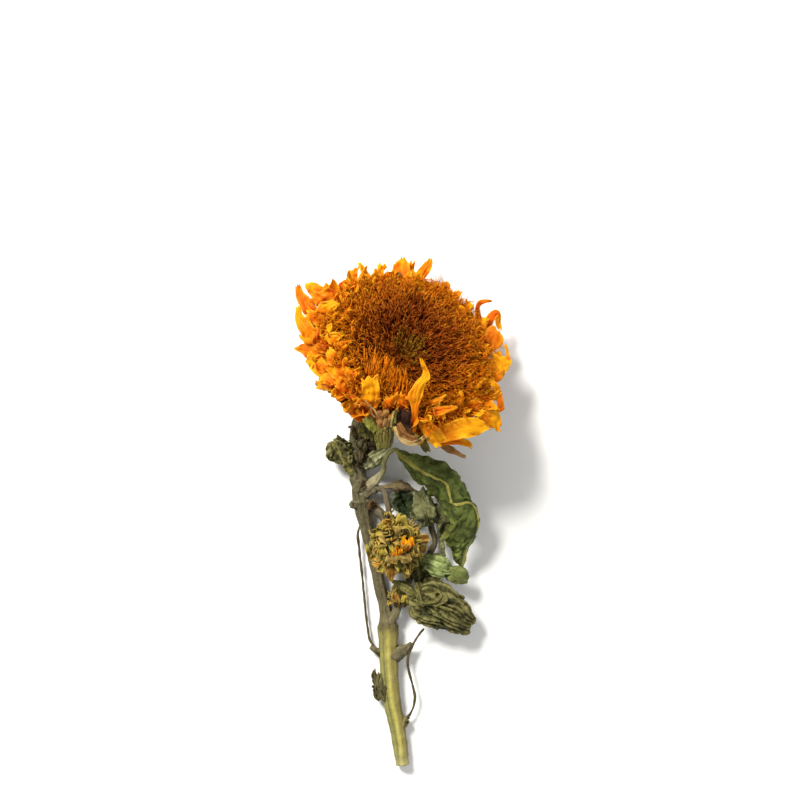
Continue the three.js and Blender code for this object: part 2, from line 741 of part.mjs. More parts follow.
// A thin leaf as a closed body. Both faces are split into triangles along the same diagonals.
function makeLeaf(leaf) {
  const spine = route(leaf.spine);
  const face = route(leaf.face);
  const { rows, columns } = leaf;
  const grid = [];
  for (let r = 0; r <= rows; r += 1) {
    const tooth = r % 2 ? 1 - TOOTH_DEPTH : 1;
    const row = [];
    for (let c = 0; c <= columns; c += 1) {
      const v = (2 * c) / columns - 1;
      row.push(leafPoint(leaf, spine, face, r / rows, Math.abs(v) === 1 ? v * tooth : v));
    }
    grid.push(row);
  }
  const upper = [];
  const lower = [];
  for (let r = 0; r <= rows; r += 1) {
    for (let c = 0; c <= columns; c += 1) {
      const down = grid[Math.min(r + 1, rows)][c].clone().sub(grid[Math.max(r - 1, 0)][c]);
      const across = grid[r][Math.min(c + 1, columns)].clone().sub(grid[r][Math.max(c - 1, 0)]);
      const out = across.cross(down).normalize();
      upper.push(grid[r][c].clone().addScaledVector(out, LEAF_THICKNESS / 2));
      lower.push(grid[r][c].clone().addScaledVector(out, -LEAF_THICKNESS / 2));
    }
  }
  const points = [...upper, ...lower];
  const below = upper.length;
  const at = (r, c) => r * (columns + 1) + c;
  const triangles = [];
  for (let r = 0; r < rows; r += 1) {
    for (let c = 0; c < columns; c += 1) {
      const [p, q, s, t] = [at(r, c), at(r, c + 1), at(r + 1, c + 1), at(r + 1, c)];
      triangles.push(p, q, s, p, s, t);
      triangles.push(below + p, below + s, below + q, below + p, below + t, below + s);
    }
  }
  const wall = (p, q) => triangles.push(p, below + p, below + q, p, below + q, q);
  for (let r = 0; r < rows; r += 1) {
    wall(at(r + 1, 0), at(r, 0));
    wall(at(r, columns), at(r + 1, columns));
  }
  for (let c = 0; c < columns; c += 1) {
    wall(at(0, c), at(0, c + 1));
    wall(at(rows, c + 1), at(rows, c));
  }
  const made = solidOf(geometryFrom(points, triangles));
  if (made.volume() > 0) return made;
  return solidOf(geometryFrom(points, triangles.toReversed()));
}

// The pieces, each cut clear of those made before it.
const pieces = [];

function addPiece(name, solid, colour, roughness) {
  const fitted = restedOnSurface(clearOf(solid, pieces.map((piece) => piece.room)));
  pieces.push({ name, solid: fitted, room: swollen(fitted), material: matter(colour, roughness) });
}

addPiece("bloom_bracts", makeBracts(), COLOURS.bracts, 0.85);
addPiece("bloom_florets", makeFlorets(), COLOURS.florets, 0.9);
addPiece("bloom_petals", makePetals(), COLOURS.petals, 0.75);
addPiece("stem", makeStem(), COLOURS.stem, 0.8);
addPiece("side_bud", makeBud(SIDE_BUD), COLOURS.bud, 0.85);
addPiece("small_bud", makeBud(SMALL_BUD), COLOURS.bud, 0.85);
for (const [name, leaf] of Object.entries(LEAVES)) {
  addPiece(name, makeLeaf(leaf), BROWNED_LEAVES.includes(name) ? COLOURS.oldLeaf : COLOURS.leaf, 0.85);
}

const sunflower = new THREE.Group();
for (const { name, solid, material } of pieces) {
  const { numProp, vertProperties, triVerts } = solid.getMesh();
  const geometry = new THREE.BufferGeometry();
  geometry.setAttribute("position", new THREE.BufferAttribute(new Float32Array(vertProperties), numProp));
  geometry.setIndex(new THREE.BufferAttribute(new Uint32Array(triVerts), 1));
  geometry.computeVertexNormals();
  const mesh = new THREE.Mesh(geometry, material);
  mesh.name = name;
  sunflower.add(mesh);
}

// The part's origin is the middle of its box on the surface that it lies on.
const box = new THREE.Box3().setFromObject(sunflower);
const middle = box.getCenter(new THREE.Vector3());
sunflower.position.set(-middle.x, -middle.y, -box.min.z);

export default sunflower;
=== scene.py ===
import json
import math
import bpy
import numpy as np
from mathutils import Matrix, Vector, noise


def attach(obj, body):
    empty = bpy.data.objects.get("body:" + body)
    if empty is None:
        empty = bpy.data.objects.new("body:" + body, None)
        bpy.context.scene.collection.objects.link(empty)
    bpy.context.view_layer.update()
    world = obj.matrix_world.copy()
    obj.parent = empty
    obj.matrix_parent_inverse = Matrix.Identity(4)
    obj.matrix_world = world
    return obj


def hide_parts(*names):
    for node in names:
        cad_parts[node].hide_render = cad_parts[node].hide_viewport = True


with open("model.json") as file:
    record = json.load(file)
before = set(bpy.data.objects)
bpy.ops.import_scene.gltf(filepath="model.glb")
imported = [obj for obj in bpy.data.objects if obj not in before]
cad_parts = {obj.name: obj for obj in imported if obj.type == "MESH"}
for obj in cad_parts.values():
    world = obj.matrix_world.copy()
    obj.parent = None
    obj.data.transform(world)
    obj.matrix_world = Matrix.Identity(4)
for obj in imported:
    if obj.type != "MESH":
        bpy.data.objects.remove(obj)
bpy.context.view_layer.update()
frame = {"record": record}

# Surface, light and camera
# The cut stem lies on a plain pale surface under broad soft light. The camera looks straight down on
# it, which is the way that the photograph looks at the upright stem.
MM = 0.001
# The middle of the flat strip that the stem lies on, measured from the cut end, in millimetres.
REST_SPOT = Vector((-6.5, 58.5, 0.0))
STEM_FOOT = Vector(frame["record"]["mounts"][0]["pos_m"]) - REST_SPOT * MM
VIEW_MIDDLE = Vector((-1.125, 165.6, 12.0))
VIEW_DISTANCE = 850.0
LENS_MM = 85.0
FILM_MM = 36.0
SURFACE_REACH = 2.0
SURFACE_DROP = 0.0002
# Each light: where it hangs from the middle of the view, its width in metres, its power and its colour.
LIGHTS = {
    "soft_key": ((-0.5, 0.58, 0.8), 0.36, 23.0, (1.0, 0.975, 0.93)),
    "soft_fill": ((0.8, -0.3, 0.7), 0.9, 3.5, (0.95, 0.97, 1.0)),
}
ROOM_LIGHT = 0.42
# The photograph is 800 pixels wide, and the bloom's width in it gives the millimetres in each pixel.
PHOTO_MIDDLE = 400
PIXEL_MM = 0.45


def spot(x, y, z):
    """A place given in millimetres from the stem's cut end, in the part's own frame."""
    return STEM_FOOT + Vector((x, y, z)) * MM


def photo_place(u, v, z):
    """A place in millimetres, from the pixel of the photograph where it shows and its own height."""
    scale = PIXEL_MM * (VIEW_DISTANCE + VIEW_MIDDLE.z - z) / VIEW_DISTANCE
    across, down = (u - PHOTO_MIDDLE) * scale, (v - PHOTO_MIDDLE) * scale
    return Vector((VIEW_MIDDLE.x + across, VIEW_MIDDLE.y - down, z))


def shows_at(point):
    """The pixel of the photograph where a place in millimetres shows."""
    scale = PIXEL_MM * (VIEW_DISTANCE + VIEW_MIDDLE.z - point.z) / VIEW_DISTANCE
    across, up = (point.x - VIEW_MIDDLE.x) / scale, (point.y - VIEW_MIDDLE.y) / scale
    return PHOTO_MIDDLE + across, PHOTO_MIDDLE - up


def paint(code):
    """A web colour as the light that it stands for."""
    channels = [int(code[i:i + 2], 16) / 255 for i in (1, 3, 5)]
    return (*[c / 12.92 if c < 0.04045 else ((c + 0.055) / 1.055) ** 2.4 for c in channels], 1.0)


def lay_surface():
    bpy.ops.mesh.primitive_plane_add(size=SURFACE_REACH, location=(0, 0, -SURFACE_DROP))
    surface = bpy.context.object
    surface.name = "pale_surface"
    card = bpy.data.materials.new("pale_card")
    card.use_nodes = True
    face = card.node_tree.nodes["Principled BSDF"]
    face.inputs["Base Color"].default_value = paint("#F4F3F0")
    face.inputs["Roughness"].default_value = 0.9
    surface.data.materials.append(card)


def hang_light(name, place, aim, size, power, colour):
    lamp = bpy.data.lights.new(name, "AREA")
    lamp.shape = "DISK"
    lamp.size = size
    lamp.energy = power
    lamp.color = colour
    light = bpy.data.objects.new(name, lamp)
    light.location = place
    light.rotation_euler = (aim - place).to_track_quat("-Z", "Y").to_euler()
    bpy.context.scene.collection.objects.link(light)


lay_surface()
middle = spot(*VIEW_MIDDLE)
for light_name, (light_place, *light_make) in LIGHTS.items():
    hang_light(light_name, middle + Vector(light_place), middle, *light_make)
world = bpy.data.worlds.new("studio")
world.use_nodes = True
world.node_tree.nodes["Background"].inputs["Color"].default_value = (1.0, 1.0, 1.0, 1.0)
world.node_tree.nodes["Background"].inputs["Strength"].default_value = ROOM_LIGHT
bpy.context.scene.world = world
bpy.context.scene.view_settings.view_transform = "Standard"

lens = bpy.data.cameras.new("camera")
lens.lens = LENS_MM
lens.sensor_width = FILM_MM
camera = bpy.data.objects.new("camera", lens)
camera.location = middle + Vector((0, 0, VIEW_DISTANCE * MM))
bpy.context.scene.collection.objects.link(camera)
bpy.context.scene.camera = camera

# Stem
# One woody stalk, thick and smooth below its joint and thin, ribbed and grey above it, with a side
# shoot, the stalks of the bud and of the long leaf, and two thin strands of skin that have sprung off.
STEM_ROUTE = [
    (0, 0, 3.1), (-1.6, 12.6, 3.2), (-5, 30.6, 3.6), (-6.4, 48.6, 4), (-6.6, 61, 4.3),
    (-7.6, 69.5, 4.2), (-9.9, 79, 4), (-12.8, 93.6, 4), (-16, 107, 4.3), (-19, 120.6, 4.8),
    (-20.4, 134, 5), (-20.8, 145, 5.4), (-19.6, 153.6, 6), (-16.4, 160.4, 7), (-12, 166.4, 9),
    (-5.9, 174.8, 16.1),
]
# Share of the way from the cut end to the bloom, and the stalk's radius there. Its joint is a step.
STEM_GIRTH = [
    (0, 3.0), (0.03, 3.15), (0.1, 3.7), (0.2, 4.2), (0.25, 4.5), (0.272, 4.9), (0.28, 4.9),
    (0.288, 4.1), (0.3, 3.5), (0.33, 2.8), (0.37, 2.5), (0.45, 2.7), (0.53, 3.1), (0.58, 3.4),
    (0.592, 3.9), (0.6, 3.5), (0.63, 3.3), (0.644, 3.9), (0.66, 3.6), (0.7, 3.3), (0.8, 3.5),
    (0.87, 4.1), (0.93, 4.6), (1, 4.4),
]
# How strongly the stalk is ribbed, by share of its length: nearly smooth below the joint.
STEM_RIBBING = [(0, 0.35), (0.27, 0.3), (0.3, 1), (1, 1.1)]
SHOOT_ROUTE = [
    (-6, 64, 5), (-2.6, 70.4, 6), (0.4, 78, 6), (4.4, 86, 5.2), (10, 92.5, 4.6), (14.5, 101, 5),
    (12.5, 109.5, 6.4),
]
BUD_STALK_ROUTE = [(-18.5, 119.5, 5), (-13.5, 117.5, 6.5), (-9, 114, 8.4), (-5.6, 109, 10.4)]
DARK_STALK_ROUTE = [
    (-17.5, 129, 6), (-13, 126.4, 8), (-8.8, 125, 9), (-7.2, 121, 10), (-6, 115, 11), (-5, 109, 12),
]
LEAF_STUB_ROUTE = [(-19, 121, 5), (-15, 124, 6.6), (-11.9, 125.2, 8)]
LONG_STALK_ROUTE = [
    (-18.8, 122.5, 5), (-14.4, 127.4, 8), (-10.6, 131, 10), (-8.5, 134.6, 12.4), (-8.2, 138, 15),
    (-6.4, 141.4, 17.6), (-3.6, 143.5, 19), (-1.6, 143.2, 19.6),
]
PLEATED_STALK_ROUTE = [(0.4, 77.6, 6), (2.6, 76.8, 8.8), (4.8, 76.2, 12)]
SMALL_STALK_ROUTES = [
    [(10, 92.5, 4.8), (9.6, 93.4, 7), (7.4, 94.4, 8.6)],
    [(9, 91.4, 5), (13, 89, 6), (17.4, 87.8, 7)],
]
TENDRIL_ROUTE = [(-4.4, 83.9, 7), (-1.8, 83.2, 8), (0.6, 82.8, 9), (3.4, 81.2, 11), (6, 78.4, 13)]
# The scar of a fallen leaf stands out on the right below the joint, and a smaller nub on the left.
SCAR_ROUTE = [
    (-5.4, 49.4, 4.4), (-2.4, 50.6, 4.8), (0.4, 52.2, 5.2), (2.4, 53.8, 5.4), (3.9, 55.6, 5.8),
]
NUB_ROUTE = [(-9, 50.6, 4.2), (-12.2, 52, 4), (-14.6, 53.4, 3.4)]
# Two dead side shoots below the neck and one that lies along it: the tangle of dead bracts is on them.
TANGLE_ROUTES = [
    [(-20.4, 137, 5.4), (-20, 140.4, 8), (-18.4, 143.4, 10), (-16.2, 148.4, 12.2)],
    [(-20.2, 140, 5.4), (-18.4, 140.6, 7.6), (-16.4, 141.4, 8.6), (-13.6, 142, 8.8)],
    [(-18.6, 143.4, 9), (-18.8, 148, 9.6), (-17.2, 153, 9.9), (-15.4, 156.6, 10)],
]
STRAND_LEFT_ROUTE = [
    (-17.5, 112, 5), (-20.2, 105, 4.2), (-19.4, 96, 3.2), (-18, 82, 2.6), (-16.4, 66, 2.4),
    (-15, 57, 2.6), (-12, 52.6, 3.2), (-8.5, 50, 4),
]
STRAND_RIGHT_ROUTE = [
    (0.5, 19.5, 3.6), (4, 23.6, 3.8), (5.6, 29.3, 4.2), (5.2, 33.8, 4.5), (3.4, 40.5, 5),
    (2.3, 46.8, 5.2), (3.8, 52.7, 5.6), (7, 58.6, 6), (9.7, 62, 6.4),
]
STRAND_RADIUS = 0.56
# Each joint lump: where it is, its half sizes and its turn about the vertical in degrees.
STEM_LUMPS = [
    ((-8.6, 35, 4), (2.6, 6.4, 2.6), 12),
    ((0.6, 19, 3.6), (2, 2.8, 2), -24),
    ((-19.4, 118.6, 5), (4.4, 2.2, 4), 8),
    ((-19, 127, 6), (3.6, 4.4, 3.6), -8),
]
# The stem's own length, by which the lumps take the stem's colour at their place.
STEM_LENGTH = 190
# How far the roughness of a surface varies to each side.
ROUGHNESS_RANGE = 0.12
WORD = 0xFFFFFFFF
# What would reach the surface flattens out over this height, in millimetres.
FLATTENED = 1.0
MARKS = ("along", "across", "tint", "ridge", "under")
# From this start the shrivelling of every piece comes out the same on every run.
SHRIVEL_START = 7
noise.seed_set(SHRIVEL_START)


def on_ring(heading, radius, height):
    turn = math.radians(heading)
    return Vector((math.cos(turn) * radius, math.sin(turn) * radius, height))


def random_stream(seed):
    """Even random numbers between low and high, the same on every run."""
    state = seed & WORD

    def draw(low, high):
        nonlocal state
        state = (state + 0x6D2B79F5) & WORD
        mixed = ((state ^ (state >> 15)) * (state | 1)) & WORD
        mixed ^= (mixed + (((mixed ^ (mixed >> 7)) * (mixed | 61)) & WORD)) & WORD
        return low + (high - low) * ((mixed ^ (mixed >> 14)) & WORD) / 2 ** 32

    return draw


def route_point(points, t):
    """The place at share t of a smooth route through its points."""
    place = min(max(t, 0.0), 1.0) * (len(points) - 1)
    index = min(int(place), len(points) - 2)
    share = place - index
    start, end = Vector(points[index]), Vector(points[index + 1])
    before = Vector(points[index - 1]) if index > 0 else start * 2 - end
    after = Vector(points[index + 2]) if index + 2 < len(points) else end * 2 - start
    leave, arrive = (end - before) / 2, (after - start) / 2
    return (
        start + leave * share + (end * 3 - start * 3 - leave * 2 - arrive) * share ** 2
        + (start * 2 - end * 2 + leave + arrive) * share ** 3
    )


class Growth:
    """The points, faces and marks of one dried piece while it is made, in millimetres."""

    def __init__(self):
        self.points = []
        self.faces = []
        self.marks = []

    def add(self, points, faces, marks):
        first = len(self.points)
        self.points.extend(points)
        self.faces.extend(tuple(first + corner for corner in face) for face in faces)
        self.marks.extend(marks)

    def piece(self, name, material, nodes=()):
        places = np.array(self.points, dtype=float)
        low = places[:, 2] < FLATTENED
        places[low, 2] = FLATTENED * np.exp(places[low, 2] / FLATTENED - 1)
        mesh = bpy.data.meshes.new(name)
        mesh.from_pydata((places * MM + np.array(STEM_FOOT)).tolist(), [], self.faces)
        for column, mark_name in enumerate(MARKS):
            layer = mesh.attributes.new(mark_name, "FLOAT", "POINT")
            layer.data.foreach_set("value", np.array(self.marks, dtype=float)[:, column])
        mesh.shade_smooth()
        mesh.materials.append(material)
        made = bpy.data.objects.new(name, mesh)
        bpy.context.scene.collection.objects.link(made)
        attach(made, "root")
        if nodes:
            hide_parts(*nodes)
        return made


def ring_faces(rings, sides, inner=False):
    """The four-sided faces between each closed ring of points and the next."""
    faces = []
    for ring in range(rings):
        for s in range(sides):
            a, b = ring * sides + s, ring * sides + (s + 1) % sides
            faces.append((a, a + sides, b + sides, b) if inner else (a, b, b + sides, a + sides))
    return faces


def tube(growth, points, girth, rings, sides, ribs=6, depth=0.05, rough=0.1, tint=0.5, along=(0, 1),
         open_start=False, ribbing=((0, 1), (1, 1))):
    """A stalk along a route: ribbed lengthwise with sharp grooves, uneven, and closed at its ends."""
    side = None
    places, marks = [], []
    spots, radii = zip(*girth)
    for ring in range(rings + 1):
        t = ring / rings
        centre = route_point(points, t)
        ahead = (route_point(points, t + 0.003) - route_point(points, t - 0.003)).normalized()
        if side is None:
            side = ahead.cross(Vector((0, 0, 1))).normalized()
        side = (side - ahead * side.dot(ahead)).normalized()
        up = ahead.cross(side)
        radius = float(np.interp(t, spots, radii))
        smooth = float(np.interp(t, *zip(*ribbing)))
        for s in range(sides):
            turn = 2 * math.pi * s / sides
            out = side * math.cos(turn) + up * math.sin(turn)
            sway = 0.7 * math.sin(5 * t + tint * 9)
            rib = 2 * abs(math.cos(ribs * turn / 2 + sway)) - 1
            fine = math.cos((3 * ribs + 1) * turn + 2 * sway)
            skin = centre + out * radius
            lump = noise.noise(skin * 0.3)
            cord_place = Vector((skin.x * 1.7 + tint * 50, skin.y * 0.22, skin.z * 1.7))
            cord = noise.noise(cord_place)
            height = smooth * (depth * rib + 0.3 * depth * fine + 0.5 * rough * cord) + rough * lump
            places.append(centre + out * radius * (1 + height))
            ridge = smooth * (0.45 * rib + 0.3 * fine + cord)
            marks.append((along[0] + (along[1] - along[0]) * t, s / sides, tint, ridge, 0))
    faces = ring_faces(rings, sides)
    if not open_start:
        faces.append(tuple(reversed(range(sides))))
    faces.append(tuple(range(rings * sides, (rings + 1) * sides)))
    growth.add(places, faces, marks)


def add_lump(growth, place, size, turn, tint, rough=0.2):
    """A knobbly swelling, such as at a joint of the stem."""
    rings, sides = 16, 24
    cos, sin = math.cos(math.radians(turn)), math.sin(math.radians(turn))
    places, marks = [], []
    for ring in range(rings + 1):
        polar = math.pi * ring / rings
        for s in range(sides):
            ball = on_ring(360 * s / sides, math.sin(polar), math.cos(polar))
            crease = 1 - 2 * abs(noise.noise(ball * 2.6 + Vector(place)))
            reach = 1 + rough * noise.noise(ball * 1.5 + Vector(place)) + 0.5 * rough * crease
            x, y, z = (ball[i] * size[i] * reach for i in range(3))
            places.append(Vector(place) + Vector((x * cos - y * sin, x * sin + y * cos, z)))
            marks.append((tint, s / sides, 0.5, crease, 0))
    growth.add(places, ring_faces(rings, sides, inner=True), marks)


def add_node(tree, kind, sockets=None, **settings):
    """A shader node with its settings, and its inputs given as values or as what feeds them."""
    node = tree.nodes.new("ShaderNode" + kind)
    for name, value in settings.items():
        setattr(node, name, value)
    for name, value in (sockets or {}).items():
        if isinstance(value, bpy.types.NodeSocket):
            tree.links.new(value, node.inputs[name])
        else:
            node.inputs[name].default_value = value
    return node


def mark(tree, name):
    """What the mesh says about each of its points, such as its share of the way along its blade."""
    return add_node(tree, "Attribute", attribute_name=name).outputs["Fac"]


def sum_of(tree, kind, a, b=0.0):
    return add_node(tree, "Math", {0: a, 1: b, 2: 0.0}, operation=kind).outputs[0]


def plus(tree, a, b):
    return sum_of(tree, "ADD", a, b)


def minus(tree, a, b):
    return sum_of(tree, "SUBTRACT", a, b)


def times(tree, a, b):
    return sum_of(tree, "MULTIPLY", a, b)


def size_of(tree, value):
    return sum_of(tree, "ABSOLUTE", value)


def to_power(tree, value, power):
    return sum_of(tree, "POWER", value, power)


def spread(tree, value, low, high, to_low=0.0, to_high=1.0):
    """The value taken from one range to another, and kept inside it."""
    return add_node(tree, "MapRange", {
        "Value": value, "From Min": low, "From Max": high, "To Min": to_low, "To Max": to_high,
    }).outputs[0]


def ramp(tree, share, stops):
    """Colours that run from one to the next as the share goes from 0 to 1."""
    node = add_node(tree, "ValToRGB", {"Fac": share})
    band = node.color_ramp
    while len(band.elements) < len(stops):
        band.elements.new(0.5)
    for element, (place, code) in zip(band.elements, stops):
        element.position = place
        element.color = paint(code)
    return node.outputs["Color"]


def blend_colours(tree, share, a, b, kind="MIX"):
    b = paint(b) if isinstance(b, str) else b
    a = paint(a) if isinstance(a, str) else a
    node = add_node(tree, "Mix", {0: share, 6: a, 7: b}, data_type="RGBA", blend_type=kind)
    return node.outputs[2]


def tinge(tree, colour, over, mask, share):
    """The colour with some of another laid over it where the mask is high."""
    return blend_colours(tree, times(tree, mask, share), colour, over)


def relief(tree, low, high):
    """A mask for raised creases or grooves: 0 at the first height of the ridges, 1 at the second."""
    return spread(tree, mark(tree, "ridge"), low, high)


def make_group(name, inputs, outputs):
    """An empty shader group with its named inputs, each with its usual value, and its outputs."""
    group = bpy.data.node_groups.new(name, "ShaderNodeTree")
    for label, value in inputs.items():
        socket = group.interface.new_socket(label, in_out="INPUT", socket_type="NodeSocketFloat")
        socket.default_value = value
    for label in outputs:
        group.interface.new_socket(label, in_out="OUTPUT", socket_type="NodeSocketFloat")
    return group, group.nodes.new("NodeGroupInput").outputs, group.nodes.new("NodeGroupOutput").inputs


def place_group(tree, group, output, **values):
    node = tree.nodes.new("ShaderNodeGroup")
    node.node_tree = group
    for label, value in values.items():
        socket = node.inputs[label.capitalize()]
        if isinstance(value, bpy.types.NodeSocket):
            tree.links.new(value, socket)
        else:
            socket.default_value = value
    return node.outputs[output]


def make_fibres():
    """Fine fibres that run the length of a stalk or blade and wander a little."""
    group, given, out = make_group("fibres", {"Count": 12.0, "Stretch": 2.0}, ["Fibre"])
    places = add_node(group, "CombineXYZ", {
        0: times(group, mark(group, "across"), given["Count"]),
        1: times(group, mark(group, "along"), given["Stretch"]),
        2: times(group, mark(group, "tint"), 37.0),
    })
    grain = add_node(group, "TexNoise", {
        "Vector": places.outputs[0], "Scale": 1.0, "Detail": 4.0, "Roughness": 0.65,
    })
    group.links.new(spread(group, grain.outputs["Fac"], 0.28, 0.72), out["Fibre"])
    return group


def make_mottle():
    """Uneven patches, such as drying leaves in a tissue."""
    group, given, out = make_group("mottle", {"Scale": 200.0, "Contrast": 0.2}, ["Patch"])
    place = add_node(group, "TexCoord").outputs["Object"]
    patches = add_node(group, "TexNoise", {
        "Vector": place, "Scale": given["Scale"], "Detail": 5.0, "Roughness": 0.6,
    })
    low = minus(group, 0.5, given["Contrast"])
    high = plus(group, 0.5, given["Contrast"])
    group.links.new(spread(group, patches.outputs["Fac"], low, high), out["Patch"])
    return group


def make_crinkle():
    """A net of fine creases between small cells of tissue: 1 on a crease, 0 inside a cell."""
    group, given, out = make_group("crinkle", {"Scale": 700.0, "Width": 0.12}, ["Crease"])
    place = add_node(group, "TexCoord").outputs["Object"]
    warp = add_node(group, "TexNoise", {"Vector": place, "Scale": 300.0, "Detail": 2.0})
    shifted = add_node(group, "Mix", {0: 0.002, 4: place, 5: warp.outputs["Color"]}, data_type="VECTOR")
    cells = add_node(group, "TexVoronoi", {"Vector": shifted.outputs[1], "Scale": given["Scale"]},
                     feature="DISTANCE_TO_EDGE")
    group.links.new(spread(group, cells.outputs["Distance"], given["Width"], 0.0), out["Crease"])
    return group


def new_material(name):
    """A new material and the tree of its nodes."""
    material = bpy.data.materials.new(name)
    material.use_nodes = True
    return material, material.node_tree


def dry_surface(material, colour, height, depth, roughness, wear, shine=0.18):
    """Dry and matt, with its own colour and relief, and with wear that varies how rough it is."""
    tree = material.node_tree
    face = tree.nodes["Principled BSDF"]
    rough = spread(tree, wear, 0.0, 1.0, roughness - ROUGHNESS_RANGE, roughness + ROUGHNESS_RANGE)
    bump = add_node(tree, "Bump", {"Height": height, "Strength": 1.0, "Distance": depth * MM})
    tree.links.new(colour, face.inputs["Base Color"])
    tree.links.new(rough, face.inputs["Roughness"])
    tree.links.new(bump.outputs["Normal"], face.inputs["Normal"])
    face.inputs["Specular IOR Level"].default_value = shine
    return face


fibres = make_fibres()
mottle = make_mottle()
crinkle = make_crinkle()


def mottled(tree, scale, contrast):
    return place_group(tree, mottle, "Patch", scale=scale, contrast=contrast)


def make_stem_skin(name, stops, pale, groove_shade_and_wear):
    skin, tree = new_material(name)
    ground = ramp(tree, mark(tree, "along"), stops)
    finish_stalk(skin, ground, pale, groove_shade_and_wear)
    return skin


def finish_stalk(skin, ground, pale, groove_shade_and_wear):
    """The lengthwise ribs, grooves, fibres and patches that every stalk has over its own colour, with
    painted shade in the grooves and a painted highlight on the ribs.
    """
    tree = skin.node_tree
    fibre = place_group(tree, fibres, "Fibre", count=30.0, stretch=10.0)
    patch = mottled(tree, 160.0, 0.16)
    fine = mottled(tree, 1100.0, 0.2)
    # Painted shade: the dark colour laid in the grooves, which also tints the worn patches below.
    # Painted highlight: the pale colour laid on the ribs.
    colour = tinge(tree, ground, groove_shade_and_wear, relief(tree, 0.1, -0.7), 0.75)
    colour = tinge(tree, colour, pale, relief(tree, 0.0, 0.9), 0.35)
    colour = tinge(tree, colour, pale, fibre, 0.28)
    colour = tinge(tree, colour, groove_shade_and_wear, patch, 0.35)
    colour = tinge(tree, colour, "#C8C0A0", fine, 0.12)
    height = plus(tree, times(tree, fibre, 0.8), times(tree, fine, 0.5))
    dry_surface(skin, colour, height, 0.3, 0.72, patch)


def make_stalk_skin():
    """The main stalk: banded straw and olive below its joint, with a painted highlight in its bright
    band along the top; brown, grey and darker above it.
    """
    skin, tree = new_material("stalk_skin")
    along = mark(tree, "along")
    patch = mottled(tree, 60.0, 0.3)
    drift = times(tree, minus(tree, patch, 0.5), 0.05)
    around = plus(tree, mark(tree, "across"), drift)
    # Round the stalk below its joint: its straw and olive bands, with a painted highlight in the bright
    # band along its top.
    lower = ramp(tree, around, [
        (0.0, "#665C2C"), (0.5, "#6E6838"), (0.57, "#7E7C34"), (0.645, "#868A34"), (0.675, "#666426"),
        (0.705, "#969238"), (0.75, "#C6BE5C"), (0.79, "#B0A646"), (0.83, "#887C32"), (0.87, "#9A8C3C"),
        (0.92, "#766A30"), (1.0, "#665C2C"),
    ])
    upper = ramp(tree, around, [
        (0.0, "#483E30"), (0.5, "#34321A"), (0.58, "#4C4A22"), (0.66, "#5E5A2C"), (0.71, "#3C381E"),
        (0.76, "#5E5640"), (0.82, "#74695A"), (0.88, "#665B4C"), (0.93, "#3A3224"), (1.0, "#483E30"),
    ])
    joint = plus(tree, along, times(tree, minus(tree, patch, 0.5), 0.02))
    ground = blend_colours(tree, spread(tree, joint, 0.27, 0.296), lower, upper)
    ground = blend_colours(tree, spread(tree, along, 0.05, 0.0, 0.0, 0.6), ground, "#B8AE7A")
    shade = ramp(tree, along, [
        (0.0, "#FFFFFF"), (0.26, "#EEE8D8"), (0.278, "#A89C84"), (0.288, "#8C7E66"), (0.3, "#D2C8B6"),
        (0.34, "#B2AA9A"), (0.5, "#9A907E"), (0.6, "#786E5C"), (0.75, "#6A6252"),
        (0.88, "#5E584A"), (1.0, "#665E50"),
    ])
    ground = blend_colours(tree, 1.0, ground, shade, "MULTIPLY")
    # The pale colour of the painted highlight on the ribs and of the fibres.
    rib_highlight_and_fibre = blend_colours(tree, 0.65, "#B0A670", shade, "MULTIPLY")
    finish_stalk(skin, ground, rib_highlight_and_fibre, "#352E18")
    return skin


def make_strand_skin():
    skin, tree = new_material("strand_skin")
    patch = mottled(tree, 300.0, 0.2)
    colour = blend_colours(tree, patch, "#2C2618", "#5C5234")
    dry_surface(skin, colour, patch, 0.12, 0.7, patch)
    return skin


def make_cut_face():
    """The cut end: pale spongy pith inside a ring of darker wood."""
    cut, tree = new_material("cut_face")
    fine = mottled(tree, 1600.0, 0.2)
    rings = ramp(tree, mark(tree, "across"), [
        (0.0, "#D9CDA4"), (0.6, "#CFC296"), (0.74, "#9A8A58"), (0.86, "#7D6F42"), (1.0, "#8A8048"),
    ])
    colour = tinge(tree, rings, "#8C7C50", fine, 0.4)
    dry_surface(cut, colour, fine, 0.3, 0.8, fine)
    return cut


# The face of the cut: shares of the stalk's radius, with how deep the face lies there in millimetres.
CUT_PROFILE = [
    (1.02, -0.05), (0.97, -0.25), (0.86, -0.1), (0.74, 0.25), (0.5, 0.4), (0.25, 0.45), (0.02, 0.45),
]


def add_cut_end(growth, centre, ahead, radius):
    """The end of the stalk as it was cut: the pith dried a little below its ring of wood."""
    side = ahead.cross(Vector((0, 0, 1))).normalized()
    up = ahead.cross(side)
    sides = 48
    places, marks = [], []
    for share, depth in CUT_PROFILE:
        for s in range(sides):
            turn = 2 * math.pi * s / sides
            out = side * math.cos(turn) + up * math.sin(turn)
            rough = 0.25 * noise.noise(out * 3 * share + Vector((5, 5, 5)))
            places.append(centre + out * radius * share + ahead * (depth + rough))
            marks.append((0, share, 0.5, 0, 0))
    faces = ring_faces(len(CUT_PROFILE) - 1, sides, inner=True)
    faces.append(tuple(reversed(range(len(places) - sides, len(places)))))
    growth.add(places, faces, marks)


def even(radii):
    """Radii spread evenly along a route."""
    return [(i / (len(radii) - 1), radius) for i, radius in enumerate(radii)]


